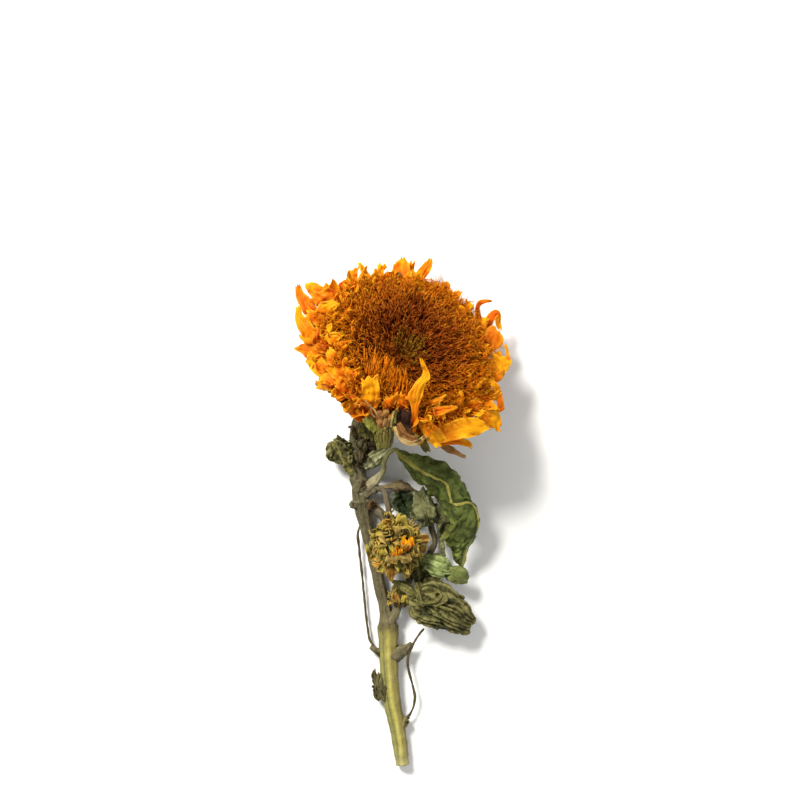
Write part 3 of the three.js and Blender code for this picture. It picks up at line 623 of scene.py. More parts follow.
stem_skin = make_stalk_skin()
shoot_skin = make_stem_skin("shoot_skin", [
    (0.0, "#5C5434"), (0.4, "#544A30"), (0.66, "#3E2E24"), (1.0, "#4A3A2A"),
], "#948A66", "#2A2014")
pale_skin = make_stem_skin("pale_stalk_skin", [
    (0.0, "#6A5C40"), (0.3, "#928A6C"), (0.42, "#76743C"), (0.6, "#6E7230"), (1.0, "#787A38"),
], "#AAA478", "#4A4028")
strand_skin = make_strand_skin()

stalk = Growth()
tube(stalk, STEM_ROUTE, STEM_GIRTH, rings=420, sides=72, ribs=7, depth=0.055, open_start=True,
     ribbing=STEM_RIBBING)
for lump_place, lump_size, lump_turn in STEM_LUMPS:
    add_lump(stalk, lump_place, lump_size, lump_turn, lump_place[1] / STEM_LENGTH)
stalk.piece("stem_stalk", stem_skin, ["stem"])

# Each thinner stalk: its route, its radii spread evenly along it, its rings and sides of points, how
# uneven it is, its tint, and the stretch of its skin's colours that it takes.
SHOOTS = [
    (BUD_STALK_ROUTE, (2.4, 2, 2.1, 2.6), 40, 24, 0.3, 0.2, (0.5, 0.7)),
    (LEAF_STUB_ROUTE, (2.2, 1.7, 1.5), 24, 20, 0.3, 0.3, (0.2, 0.4)),
    (SHOOT_ROUTE, (2.2, 1.9, 1.6, 1.4, 1.3, 1.3, 1.4), 90, 20, 0.3, 0.4, (0.1, 0.6)),
    (DARK_STALK_ROUTE, (1.5, 1.3, 1.2, 1.3, 1.3, 1.6), 50, 18, 0.3, 0.7, (0.8, 1)),
    (SCAR_ROUTE, (3.6, 3.4, 2.6, 1.4, 0.6), 40, 24, 0.35, 0.6, (0, 0.1)),
    (NUB_ROUTE, (1.8, 1.3, 0.9), 16, 16, 0.4, 0.1, (0, 0.1)),
    *[(route, (2.4, 1.8, 1.4, 0.8), 24, 16, 0.4, 0.6, (0.6, 0.8)) for route in TANGLE_ROUTES],
]
LEAF_STALKS = [
    (LONG_STALK_ROUTE, (2.8, 2.3, 1.7, 1.1, 0.9, 0.85, 0.85, 0.8), 90, 24, 0.3, 0.5, (0, 1)),
    (PLEATED_STALK_ROUTE, (1.1, 1.1, 1.4), 20, 14, 0.3, 0.5, (0.4, 0.7)),
    (TENDRIL_ROUTE, (0.4, 0.55, 0.9, 1.1, 0.7), 40, 12, 0.4, 0.5, (0.3, 0.5)),
    *[(route, (0.8, 0.7, 0.8), 16, 12, 0.3, 0.5, (0.5, 0.7)) for route in SMALL_STALK_ROUTES],
]
STRANDS = [
    (route, (STRAND_RADIUS, STRAND_RADIUS), 120, 10, 0.6, 0.5, (0, 1))
    for route in (STRAND_LEFT_ROUTE, STRAND_RIGHT_ROUTE)
]
THIN_PIECES = [
    ("stem_shoots", shoot_skin, SHOOTS),
    ("leaf_stalks", pale_skin, LEAF_STALKS),
    ("stem_strands", strand_skin, STRANDS),
]
for thin_name, thin_skin, thin_stalks in THIN_PIECES:
    thin = Growth()
    for thin_route, thin_radii, rings, sides, thin_rough, thin_tint, thin_along in thin_stalks:
        tube(thin, thin_route, even(thin_radii), rings, sides, rough=thin_rough, tint=thin_tint,
             along=thin_along)
    thin.piece(thin_name, thin_skin)

cut_end = Growth()
stem_start, stem_next = Vector(STEM_ROUTE[0]), Vector(STEM_ROUTE[1])
add_cut_end(cut_end, stem_start, (stem_next - stem_start).normalized(), STEM_GIRTH[0][1])
cut_end.piece("stem_cut", make_cut_face())

# Receptacle and bracts
# The shallow cup that the neck flares into, covered with rows of leafy bracts that dried curled and
# brown, each grown from the cup by its root. The bloom is made upright and then turned onto the neck.
# Its middle is in millimetres from the cut end, and it tilts and turns by so many degrees.
BLOOM_CENTRE = Vector((0.2, 183.8, 30))
BLOOM_TILT = 38
BLOOM_TURN = -34
DISC_RADIUS = 33
DISC_RISE = 6
RIM_RADIUS = 38
RECEPTACLE_DEPTH = 20
NECK_RADIUS = 4.6
RECEPTACLE_PROFILE = [
    (0, -RECEPTACLE_DEPTH), (NECK_RADIUS, -RECEPTACLE_DEPTH),
    (NECK_RADIUS + 2.2, -RECEPTACLE_DEPTH + 5), (14, -11.4), (25, -8), (34, -4), (RIM_RADIUS - 0.6, 0),
    (0, 0),
]
# Each row of bracts: the start of its draws, its count, the radius and height of its ring in the bloom,
# and the ranges of its bracts' length, width, rise from level and curl in degrees.
BRACT_ROWS = [
    (61, 14, 35, -2.6, (9, 13), (6.4, 8.4), (-14, 26), (0, 54)),
    (67, 12, 29.4, -5.8, (9, 13), (6.4, 8.4), (-26, 2), (10, 52)),
    (71, 7, 21, -9, (9, 12), (5.4, 7.4), (-34, -14), (10, 46)),
    (161, 20, 34.5, -2.2, (7, 12), (3.4, 6), (-10, 50), (-20, 60)),
    (167, 18, 31.5, -4.8, (8, 12), (4, 7), (-30, 20), (0, 60)),
    (171, 14, 25, -7.4, (8, 12), (4, 6.4), (-34, -4), (0, 56)),
    (173, 9, 15, -10.6, (7, 10), (3.6, 6), (-50, -20), (-10, 40)),
    (179, 7, 9, -13.4, (5, 8), (3, 5), (-44, -24), (0, 40)),
]
# How far a bract strays from its even place, as a share of it, and its bend and twist in degrees.
BRACT_STRAY = 0.3
BRACT_BENDS = dict(bend=(-14, 14), twist=(-20, 20))
BRACT_STYLE = dict(
    rows=14, columns=10, wander=12, roll=1.6, pleat=0.5, grain=0.7, buckle=0.5, ruffle=0.5, ruffles=2.2,
    tip=0.1, teeth=0.0, crumple=1.1, thickness=0.35, root=0.9, tints=(0, 0.66),
)


def bloom_place(point):
    """A place in the bloom's own frame, turned onto the neck."""
    x, y, z = point
    tilt, turn = math.radians(BLOOM_TILT), math.radians(BLOOM_TURN)
    y, z = y * math.cos(tilt) + z * math.sin(tilt), -y * math.sin(tilt) + z * math.cos(tilt)
    x, y = x * math.cos(turn) - y * math.sin(turn), x * math.sin(turn) + y * math.cos(turn)
    return BLOOM_CENTRE + Vector((x, y, z))


def sheet_normals(grid):
    out = np.cross(np.gradient(grid, axis=1), np.gradient(grid, axis=0))
    return out / np.maximum(np.linalg.norm(out, axis=2, keepdims=True), 1e-9)


def add_sheet(growth, grid, thickness, marks, put=None):
    """A thin closed sheet through a grid of points."""
    rows, columns = grid.shape[0] - 1, grid.shape[1] - 1
    out = sheet_normals(grid)
    both = np.concatenate([grid + out * thickness / 2, grid - out * thickness / 2]).reshape(-1, 3)
    below = (rows + 1) * (columns + 1)
    faces = []
    for r in range(rows):
        for c in range(columns):
            p = r * (columns + 1) + c
            q, s, t = p + 1, p + columns + 2, p + columns + 1
            faces.append((p, q, s, t))
            faces.append((below + t, below + s, below + q, below + p))
    edge = list(range(columns))
    edge += [r * (columns + 1) + columns for r in range(rows)]
    edge += [rows * (columns + 1) + c for c in range(columns, 0, -1)]
    edge += [r * (columns + 1) for r in range(rows, 0, -1)]
    for here, there in zip(edge, edge[1:] + edge[:1]):
        faces.append((there, here, below + here, below + there))
    places = [Vector(p) for p in both]
    if put:
        places = [put(p) for p in places]
    growth.add(places, faces, [(*m, 0) for m in marks] + [(*m, 1) for m in marks])


def crease_at(place):
    """How high a sheet stands at a place that sharp creases run past: about 1 on a crease."""
    return (0.62 - 2 * abs(noise.noise(place))) * 1.6


def blade_width(s, root, tip):
    """The share of its greatest width that a blade has at share s of its length."""
    swell = np.sin(np.pi * np.minimum(0.08 + 0.86 * s, 1)) ** 0.7
    return np.maximum(np.maximum(swell, root * (1 - s)), tip + 0.04)


def crease_blade(growth, random, middle, side, half, style, put=None):
    """A thin blade along its midline: rolled across, creased lengthwise, ruffled and buckled."""
    rows, columns = len(middle) - 1, style["columns"]
    s = np.linspace(0, 1, rows + 1)
    v = np.linspace(-1, 1, columns + 1)
    ahead = np.gradient(middle, axis=0)
    ahead /= np.linalg.norm(ahead, axis=1, keepdims=True)
    face = np.cross(ahead, side)
    run = np.concatenate([[0], np.cumsum(np.linalg.norm(np.diff(middle, axis=0), axis=1))])
    roll = style["roll"] * random(-0.4, 1) * (0.5 + 0.5 * s) + 0.01
    phase, edge_phase, edge_gap = random(0, 6.3), random(0, 6.3), random(0.8, 2.6)
    seed = Vector((random(0, 90), random(0, 90), random(0, 90)))
    narrow = np.minimum(half / 2, 1.2)
    arc = roll[:, None] * v
    out = half[:, None] * np.sin(arc) / roll[:, None]
    fold = half[:, None] * (1 - np.cos(arc)) / roll[:, None]
    waves = np.sin(2 * math.pi * style["ruffles"] * s[:, None] + edge_phase + edge_gap * (v > 0))
    waves = waves * (0.4 + 0.6 * s[:, None])
    fold = fold + style["ruffle"] * narrow[:, None] * np.abs(v) ** 1.8 * waves
    teeth = s[:, None] ** 6 * np.cos(2.2 * math.pi * v + phase)
    reach = style["teeth"] * random(0.5, 1.3) * run[-1] * teeth
    ridge = np.zeros((rows + 1, columns + 1))
    soft = np.zeros((rows + 1, columns + 1, 3))
    for r in range(rows + 1):
        for c in range(columns + 1):
            place = Vector((v[c] * half[r] * style["grain"], run[r] * style["grain"] * 0.16, 0)) + seed
            crease = crease_at(place)
            buckle = noise.noise(Vector((v[c] * 0.7, run[r] * 0.45, 3)) + seed)
            fold[r, c] += narrow[r] * (style["pleat"] * crease + style["buckle"] * buckle)
            place = Vector((v[c] * half[r], run[r], 9)) * 0.2 + seed
            soft[r, c] = np.array(noise.noise_vector(place)) * style["crumple"] * (0.15 + s[r])
            ridge[r, c] = 0.75 * crease + 0.4 * buckle
    grid = middle[:, None, :] + side[:, None, :] * out[..., None] + face[:, None, :] * fold[..., None]
    grid = grid + ahead[:, None, :] * reach[..., None] + soft
    tint = random(*style["tints"])
    corners = [(r, c) for r in range(rows + 1) for c in range(columns + 1)]
    marks = [(float(s[r]), float(v[c]), tint, float(ridge[r, c])) for r, c in corners]
    add_sheet(growth, grid, style["thickness"], marks, put)


def add_blade(growth, random, spec, style, put=None):
    """A dried petal, bract or scale that leaves its root as the spec says and then wanders."""
    rows = style["rows"]
    s = np.linspace(0, 1, rows + 1)
    sway, nod = random(-1, 1), random(-1, 1)
    wave = 2 * math.pi * random(0.5, 1.2)
    turn = np.radians(spec["heading"] + spec["bend"] * s + style["wander"] * sway * np.sin(wave * s))
    lift = np.radians(spec["rise"] + spec["curl"] * s + style["wander"] * nod * np.sin(wave * s + 1))
    ahead = np.stack([np.cos(lift) * np.cos(turn), np.cos(lift) * np.sin(turn), np.sin(lift)], 1)
    middle = np.array(spec["start"]) + (np.cumsum(ahead, 0) - ahead[0]) * spec["length"] / rows
    level = np.stack([-np.sin(turn), np.cos(turn), np.zeros(rows + 1)], 1)
    twist = np.radians(spec["twist"] * s)[:, None]
    side = level * np.cos(twist) + np.cross(ahead, level) * np.sin(twist)
    half = spec["width"] / 2 * blade_width(s, style["root"], style["tip"] * random(0.3, 1.7))
    crease_blade(growth, random, middle, side, half, style, put)


def add_lathe(growth, profile, sides, put, rough, tint):
    """A turned closed body about the bloom's axis, roughened, with its ends on the axis."""
    places, marks = [], []
    for index, (radius, height) in enumerate(profile):
        for s in range(sides):
            point = on_ring(360 * s / sides, radius, height)
            lump = noise.noise(point * 0.35)
            point.z += rough * lump * min(radius / 8, 1)
            places.append(put(point))
            marks.append((index / len(profile), s / sides, tint, lump, 0))
    growth.add(places, ring_faces(len(profile) - 1, sides), marks)


def finer(profile, steps):
    """The same outline with more points on it."""
    points = []
    for (r0, h0), (r1, h1) in zip(profile, profile[1:]):
        points += [(r0 + (r1 - r0) * i / steps, h0 + (h1 - h0) * i / steps) for i in range(steps)]
    return points + [profile[-1]]


def make_bract_skin():
    skin, tree = new_material("bract_skin")
    along = mark(tree, "along")
    fibre = place_group(tree, fibres, "Fibre", count=7.0, stretch=2.0)
    patch = mottled(tree, 220.0, 0.18)
    crease = place_group(tree, crinkle, "Crease", scale=800.0, width=0.14)
    # The darkest kinds at the end, dark orange-brown to near black maroon, are painted shade for the
    # sheets that fill shaded places among the front petals.
    kinds = ramp(tree, mark(tree, "tint"), [
        (0.0, "#3E4218"), (0.35, "#50521C"), (0.58, "#66622A"), (0.72, "#A4A23C"), (0.77, "#B4AC50"),
        (0.8, "#9A7A4A"), (0.87, "#D07A3C"), (0.9, "#DCB478"), (0.94, "#94501E"), (0.98, "#4A1612"),
        (1.0, "#2C0C0A"),
    ])
    ground = blend_colours(tree, spread(tree, along, 0.5, 1.0, 0.0, 0.25), kinds, "#7E6C34")
    browned_and_crease_shade = tinge(tree, ground, "#3A2C14", patch, 0.5)
    # Painted shade: dark brown laid in the hollows of the creases.
    browned_and_crease_shade = tinge(tree, browned_and_crease_shade, "#241C0C", relief(tree, 0.0, -0.9), 0.6)
    plain = spread(tree, mark(tree, "tint"), 0.91, 0.96, 1.0, 0.0)
    veined = blend_colours(tree, times(tree, fibre, times(tree, plain, 0.3)), browned_and_crease_shade, "#9A9050")
    # Painted highlight: pale olive laid on the crests, but not on the darkest kinds.
    crest = times(tree, relief(tree, 0.2, 1.0), times(tree, plain, 0.4))
    lit = blend_colours(tree, crest, veined, "#A8A052")
    height = minus(tree, fibre, times(tree, crease, 0.6))
    dry_surface(skin, lit, height, 0.3, 0.78, patch)
    return skin


def drawn(random, **ranges):
    """Each of these measures, drawn in turn from its range."""
    return {name: random(*ends) for name, ends in ranges.items()}


def add_bracts(growth, rows):
    for seed, count, ring, height, length, width, rise, curl in rows:
        random, crumple_random = random_stream(seed), random_stream(seed + 1000)
        for i in range(count):
            heading = 360 * (i + random(-BRACT_STRAY, BRACT_STRAY)) / count
            sizes = drawn(random, length=length, width=width, rise=rise, curl=curl, **BRACT_BENDS)
            spec = fitted(dict(sizes, start=on_ring(heading, ring, height), heading=heading))
            if spec:
                add_blade(growth, crumple_random, spec, BRACT_STYLE, bloom_place)


def add_placed(growth, random, rows, style):
    """A blade between its two edges, which are given row by row as they show in the photograph."""
    steps = style["rows"]
    edges = []
    for first in (0, 2):
        route = [photo_place(row[first], row[first + 1], row[4]) for row in rows]
        edges.append(np.array([route_point(route, i / steps) for i in range(steps + 1)]))
    across = edges[1] - edges[0]
    width = np.linalg.norm(across, axis=1, keepdims=True)
    crease_blade(growth, random, (edges[0] + edges[1]) / 2, across / width, width[:, 0] / 2, style)


# The bloom's outline in the photograph, in pixels: the petals and bracts of the rows end inside it.
BLOOM_OUTLINE = [
    (296, 284), (308, 280), (339, 272), (355, 264), (379, 262), (403, 257), (433, 258), (448, 282),
    (472, 291), (492, 299), (501, 323), (509, 357), (510, 375), (504, 397), (503, 430), (474, 447),
    (450, 446), (414, 444), (376, 422), (345, 414), (334, 399), (312, 379), (296, 352), (294, 309),
]
# Where petals have fallen from the front edge.
FRONT_GAP = [(366, 420), (374, 406), (398, 405), (411, 413), (411, 434), (400, 448), (372, 448)]
# Outlines of all that stands out of the rows: what follows the rows stays short of them or lies below.
STANDING = [FRONT_GAP]
LAID_BELOW = -14
SHORTENED = (1, 0.85, 0.7, 0.55)
# Where along a blade it is looked at, besides its tip.
WAIST = 0.55


def inside(outline, u, v):
    """Whether a pixel lies inside an outline."""
    within = False
    for (u0, v0), (u1, v1) in zip(outline, outline[1:] + outline[:1]):
        if (v0 > v) != (v1 > v) and u < u0 + (u1 - u0) * (v - v0) / (v1 - v0):
            within = not within
    return within


def stands_clear(point, edge=BLOOM_OUTLINE):
    """Whether a place of the bloom shows inside this edge, and in front of nothing that stands out."""
    u, v = shows_at(bloom_place(point))
    return inside(edge, u, v) and not any(inside(outline, u, v) for outline in STANDING)


def fitted(spec):
    """The blade as it is, or shorter, or laid below the ring, so that it ends inside the outline."""
    for rise in (spec["rise"], LAID_BELOW):
        lift = math.radians(rise + spec["curl"] / 2)
        turn = math.radians(spec["heading"] + spec["bend"] / 2)
        level = math.cos(lift)
        ahead = Vector((level * math.cos(turn), level * math.sin(turn), math.sin(lift)))
        for share in SHORTENED if rise != LAID_BELOW else SHORTENED[2:]:
            reach = ahead * spec["length"] * share
            tip, waist = spec["start"] + reach, spec["start"] + reach * WAIST
            u, v = shows_at(bloom_place(tip))
            within = inside(BLOOM_OUTLINE, u, v) and not inside(FRONT_GAP, u, v)
            if rise == LAID_BELOW and within:
                return dict(spec, length=spec["length"] * share, rise=rise)
            if within and stands_clear(tip) and stands_clear(waist):
                return dict(spec, length=spec["length"] * share)
    return None


# Bracts that show below the front edge, each from its root to its tip as rows of both its edges in the
# photograph with the height of the row, then the range of its tint.
PLACED_BRACTS = [
    # Painted shade: a near black maroon sheet where there is only the dark gap between the front
    # petals.
    ([(396, 409, 410, 409, 58), (395, 418, 411, 418, 57.4), (396, 427, 411, 427, 56),
      (400, 435, 411, 436, 54.4)], (0.98, 1)),
    # Painted shade: a darker orange-brown sheet for the shaded part of the petal, behind the pale band
    # that follows.
    ([(396.6, 424, 400, 422, 57.6), (398, 432, 404, 428, 57.4), (403, 439, 409, 433, 56.6),
      (411, 442, 415, 436, 55.6), (420, 440.6, 420.6, 435, 54.4)], (0.93, 0.95)),
    ([(393.4, 427, 396.4, 426, 58), (395, 434, 398.6, 431.6, 58), (400, 441, 403, 436.8, 57.6),
      (409, 445.4, 410.4, 440.4, 56.6), (418, 443.6, 416.8, 438.6, 55.4), (424, 439, 421.6, 435.6, 54)],
     (0.89, 0.91)),
    ([(375, 428, 394, 428, 53), (374.6, 438, 393, 438, 48), (378, 446, 390, 446, 43.6)], (0.5, 0.6)),
    ([(362, 424, 377, 424, 46), (358, 430, 378, 432, 43), (365, 438, 376, 440, 41)], (0, 0.1)),
    ([(378, 429, 383, 430, 54), (376.4, 424, 382.6, 424.6, 57.4), (376, 418.6, 381, 418, 58.4)],
     (0.84, 0.88)),
    ([(382, 430, 387, 429, 54.4), (382.6, 424, 388.6, 423.4, 58), (383.4, 418.6, 388, 418, 58.8)],
     (0.86, 0.89)),
    ([(376, 420, 382, 420.6, 57), (375.6, 414.6, 382.4, 414, 59.6), (377, 410.6, 381, 410, 59.8)],
     (0.86, 0.89)),
    ([(382.4, 420, 388.6, 419.6, 57.4), (383, 414, 389.4, 413, 60), (384.4, 410.4, 388.4, 409.6, 60)],
     (0.84, 0.88)),
    ([(387, 430, 394, 430, 54), (388.6, 420, 396.6, 419, 58), (391, 411, 397.6, 409.6, 59)],
     (0.64, 0.72)),
    ([(390.6, 428, 391.8, 428, 57.4), (391.6, 419, 393, 419, 60), (393.6, 411.6, 394.8, 411.4, 60.4)],
     (0.89, 0.9)),
    ([(374, 434, 379, 428, 53), (367.6, 427, 373.6, 419.6, 56), (362, 420, 366.4, 415, 56.6)],
     (0.71, 0.75)),
    ([(376.6, 446, 379, 447, 45), (374.4, 438, 377.4, 438.6, 49.6), (375.4, 428, 378.4, 428.4, 54.6)],
     (0.68, 0.74)),
    ([(378.6, 447, 381, 447.6, 45.6), (377, 438.6, 380, 439, 51.2), (378, 428.4, 381, 428.6, 55.6)],
     (0.72, 0.76)),
    ([(380.6, 447.6, 383, 448, 46), (379.8, 439, 382.8, 439.4, 52), (380.8, 428.6, 383.6, 428.8, 56)],
     (0.68, 0.73)),
    ([(382.6, 448, 385, 448, 46), (382.6, 439.4, 385.6, 439.4, 52.2),
      (383.2, 428.8, 386.2, 428.8, 56.2)], (0.72, 0.76)),
    ([(384.6, 448, 387, 447.6, 45.6), (385.4, 439.4, 388.4, 439, 52), (386, 428.8, 389, 428.6, 56)],
     (0.66, 0.72)),
    ([(386.6, 447.6, 389, 447, 45), (388.2, 439, 391, 438.6, 51), (388.6, 428.6, 391.6, 428.4, 55.4)],
     (0.6, 0.68)),
    ([(388.6, 447, 391, 446, 44), (390.8, 438.6, 393.4, 438, 49.6), (391.4, 428.4, 394, 428, 54.4)],
     (0.55, 0.62)),
    ([(379, 445, 379.8, 445, 48.4), (378, 438, 378.8, 438, 52.6), (379, 430, 379.8, 430, 56.8)],
     (0.89, 0.91)),
    ([(383.4, 446, 384.2, 446, 48.6), (383.4, 438, 384.2, 438, 53.4), (384.4, 430, 385.2, 430, 57.4)],
     (0.89, 0.91)),
    ([(388, 445, 388.8, 445, 48), (388.6, 438, 389.4, 438, 52.8), (388.4, 430, 389.2, 430, 57)],
     (0.89, 0.91)),
    ([(362.6, 402.6, 363.6, 402, 60), (369, 409.4, 370, 408.8, 60.6), (375.6, 417.6, 376.6, 416.8, 60)],
     (0.89, 0.91)),
    ([(365, 400.6, 366, 400, 60.4), (371, 407, 372, 406.4, 60.8), (377, 414.6, 378, 414, 60.4)],
     (0.89, 0.91)),
    ([(436, 440, 440, 447, 43), (446, 444, 449, 453, 43), (458, 449, 460, 457, 42),
      (466, 455, 466, 459, 40)], (0.79, 0.84)),
    ([(418, 441, 424, 438, 46), (421, 447, 428, 444, 46), (426, 452, 430, 449, 44)], (0.5, 0.6)),
    ([(325, 391, 330, 386, 44), (318, 388, 322, 383, 43), (314, 384, 316, 380, 41)], (0.4, 0.5)),
]
PLACED_BRACT_STYLE = dict(
    BRACT_STYLE, rows=20, columns=12, roll=1.2, pleat=0.8, buckle=1.0, teeth=0.04, crumple=1.2,
)

bract_skin = make_bract_skin()
cup = Growth()
add_lathe(cup, finer(RECEPTACLE_PROFILE, 6), sides=96, put=bloom_place, rough=1.2, tint=0.4)
add_bracts(cup, BRACT_ROWS)
placed_random = random_stream(181)
for bract_rows, bract_tints in PLACED_BRACTS:
    add_placed(cup, placed_random, bract_rows, dict(PLACED_BRACT_STYLE, tints=bract_tints))
cup.piece("bloom_cup", bract_skin, ["bloom_bracts"])

# Petals
# Papery petals in three rows round the disc, yellow at the tips and red-brown at the root, creased
# lengthwise and curled by drying. They grow from the rim of the cup, with narrow quilled ones between
# them and large ones that stand out.
GAP = 0.3
# Each row of petals: the start of its draws, its count, how far its ring lies inside the rim, its
# height, and the ranges of its petals' length, width, rise from level and curl in degrees.
PETAL_ROWS = [
    (11, 26, 3, 2.2, (9, 13), (2.8, 4.6), (60, 100), (-24, 30)),
    (23, 26, 2, 1.6, (12, 17), (3.4, 5.6), (40, 72), (-30, 50)),
    (37, 24, 1, 0.8, (14, 19), (4, 6.6), (12, 40), (-20, 60)),
]
# Petals at the back of the ring are shorter by up to this share, and those in front rise by up to so
# many degrees more.
BACK_SHORTENING = 0.24
FRONT_LIFT = 12
# The ring that the petals are rooted in, round the disc.
PETAL_RIM = [
    (DISC_RADIUS + GAP, GAP), (RIM_RADIUS, GAP), (RIM_RADIUS - 0.6, 3.2), (DISC_RADIUS + GAP, 3.8),
    (DISC_RADIUS + GAP, GAP),
]
# How far a petal strays from its even place, then how far it turns aside, bends and twists in degrees.
PETAL_SPREAD = (0.28, 16, dict(bend=(-26, 26), twist=(-32, 32)))
# Narrower petals between the main ones.
QUILL_ROWS = [
    (211, 66, 6.4, 2.4, (8, 12), (2, 3.8), (40, 96), (-40, 70)),
    (223, 66, 4.6, 2.4, (9, 14), (2.4, 4.6), (36, 90), (-50, 80)),
    (227, 60, 2.6, 1.8, (10, 15), (2.8, 5.2), (24, 76), (-40, 90)),
    (229, 50, 1, 1, (10, 15), (3, 5.6), (0, 50), (-20, 80)),
]
QUILL_SPREAD = (0.5, 30, dict(bend=(-60, 60), twist=(-70, 70)))
PETAL_STYLE = dict(
    rows=18, columns=9, wander=22, roll=2.0, pleat=0.4, grain=0.7, buckle=0.6, ruffle=1.0, ruffles=1.6,
    tip=0.3, teeth=0.05, crumple=1.2, thickness=0.2, root=0.5, tints=(0.2, 1),
)
QUILL_STYLE = dict(
    PETAL_STYLE, rows=15, columns=7, wander=32, roll=2.6, ruffle=0.8, crumple=1.2, tip=0.15,
    tints=(0.1, 0.95),
)
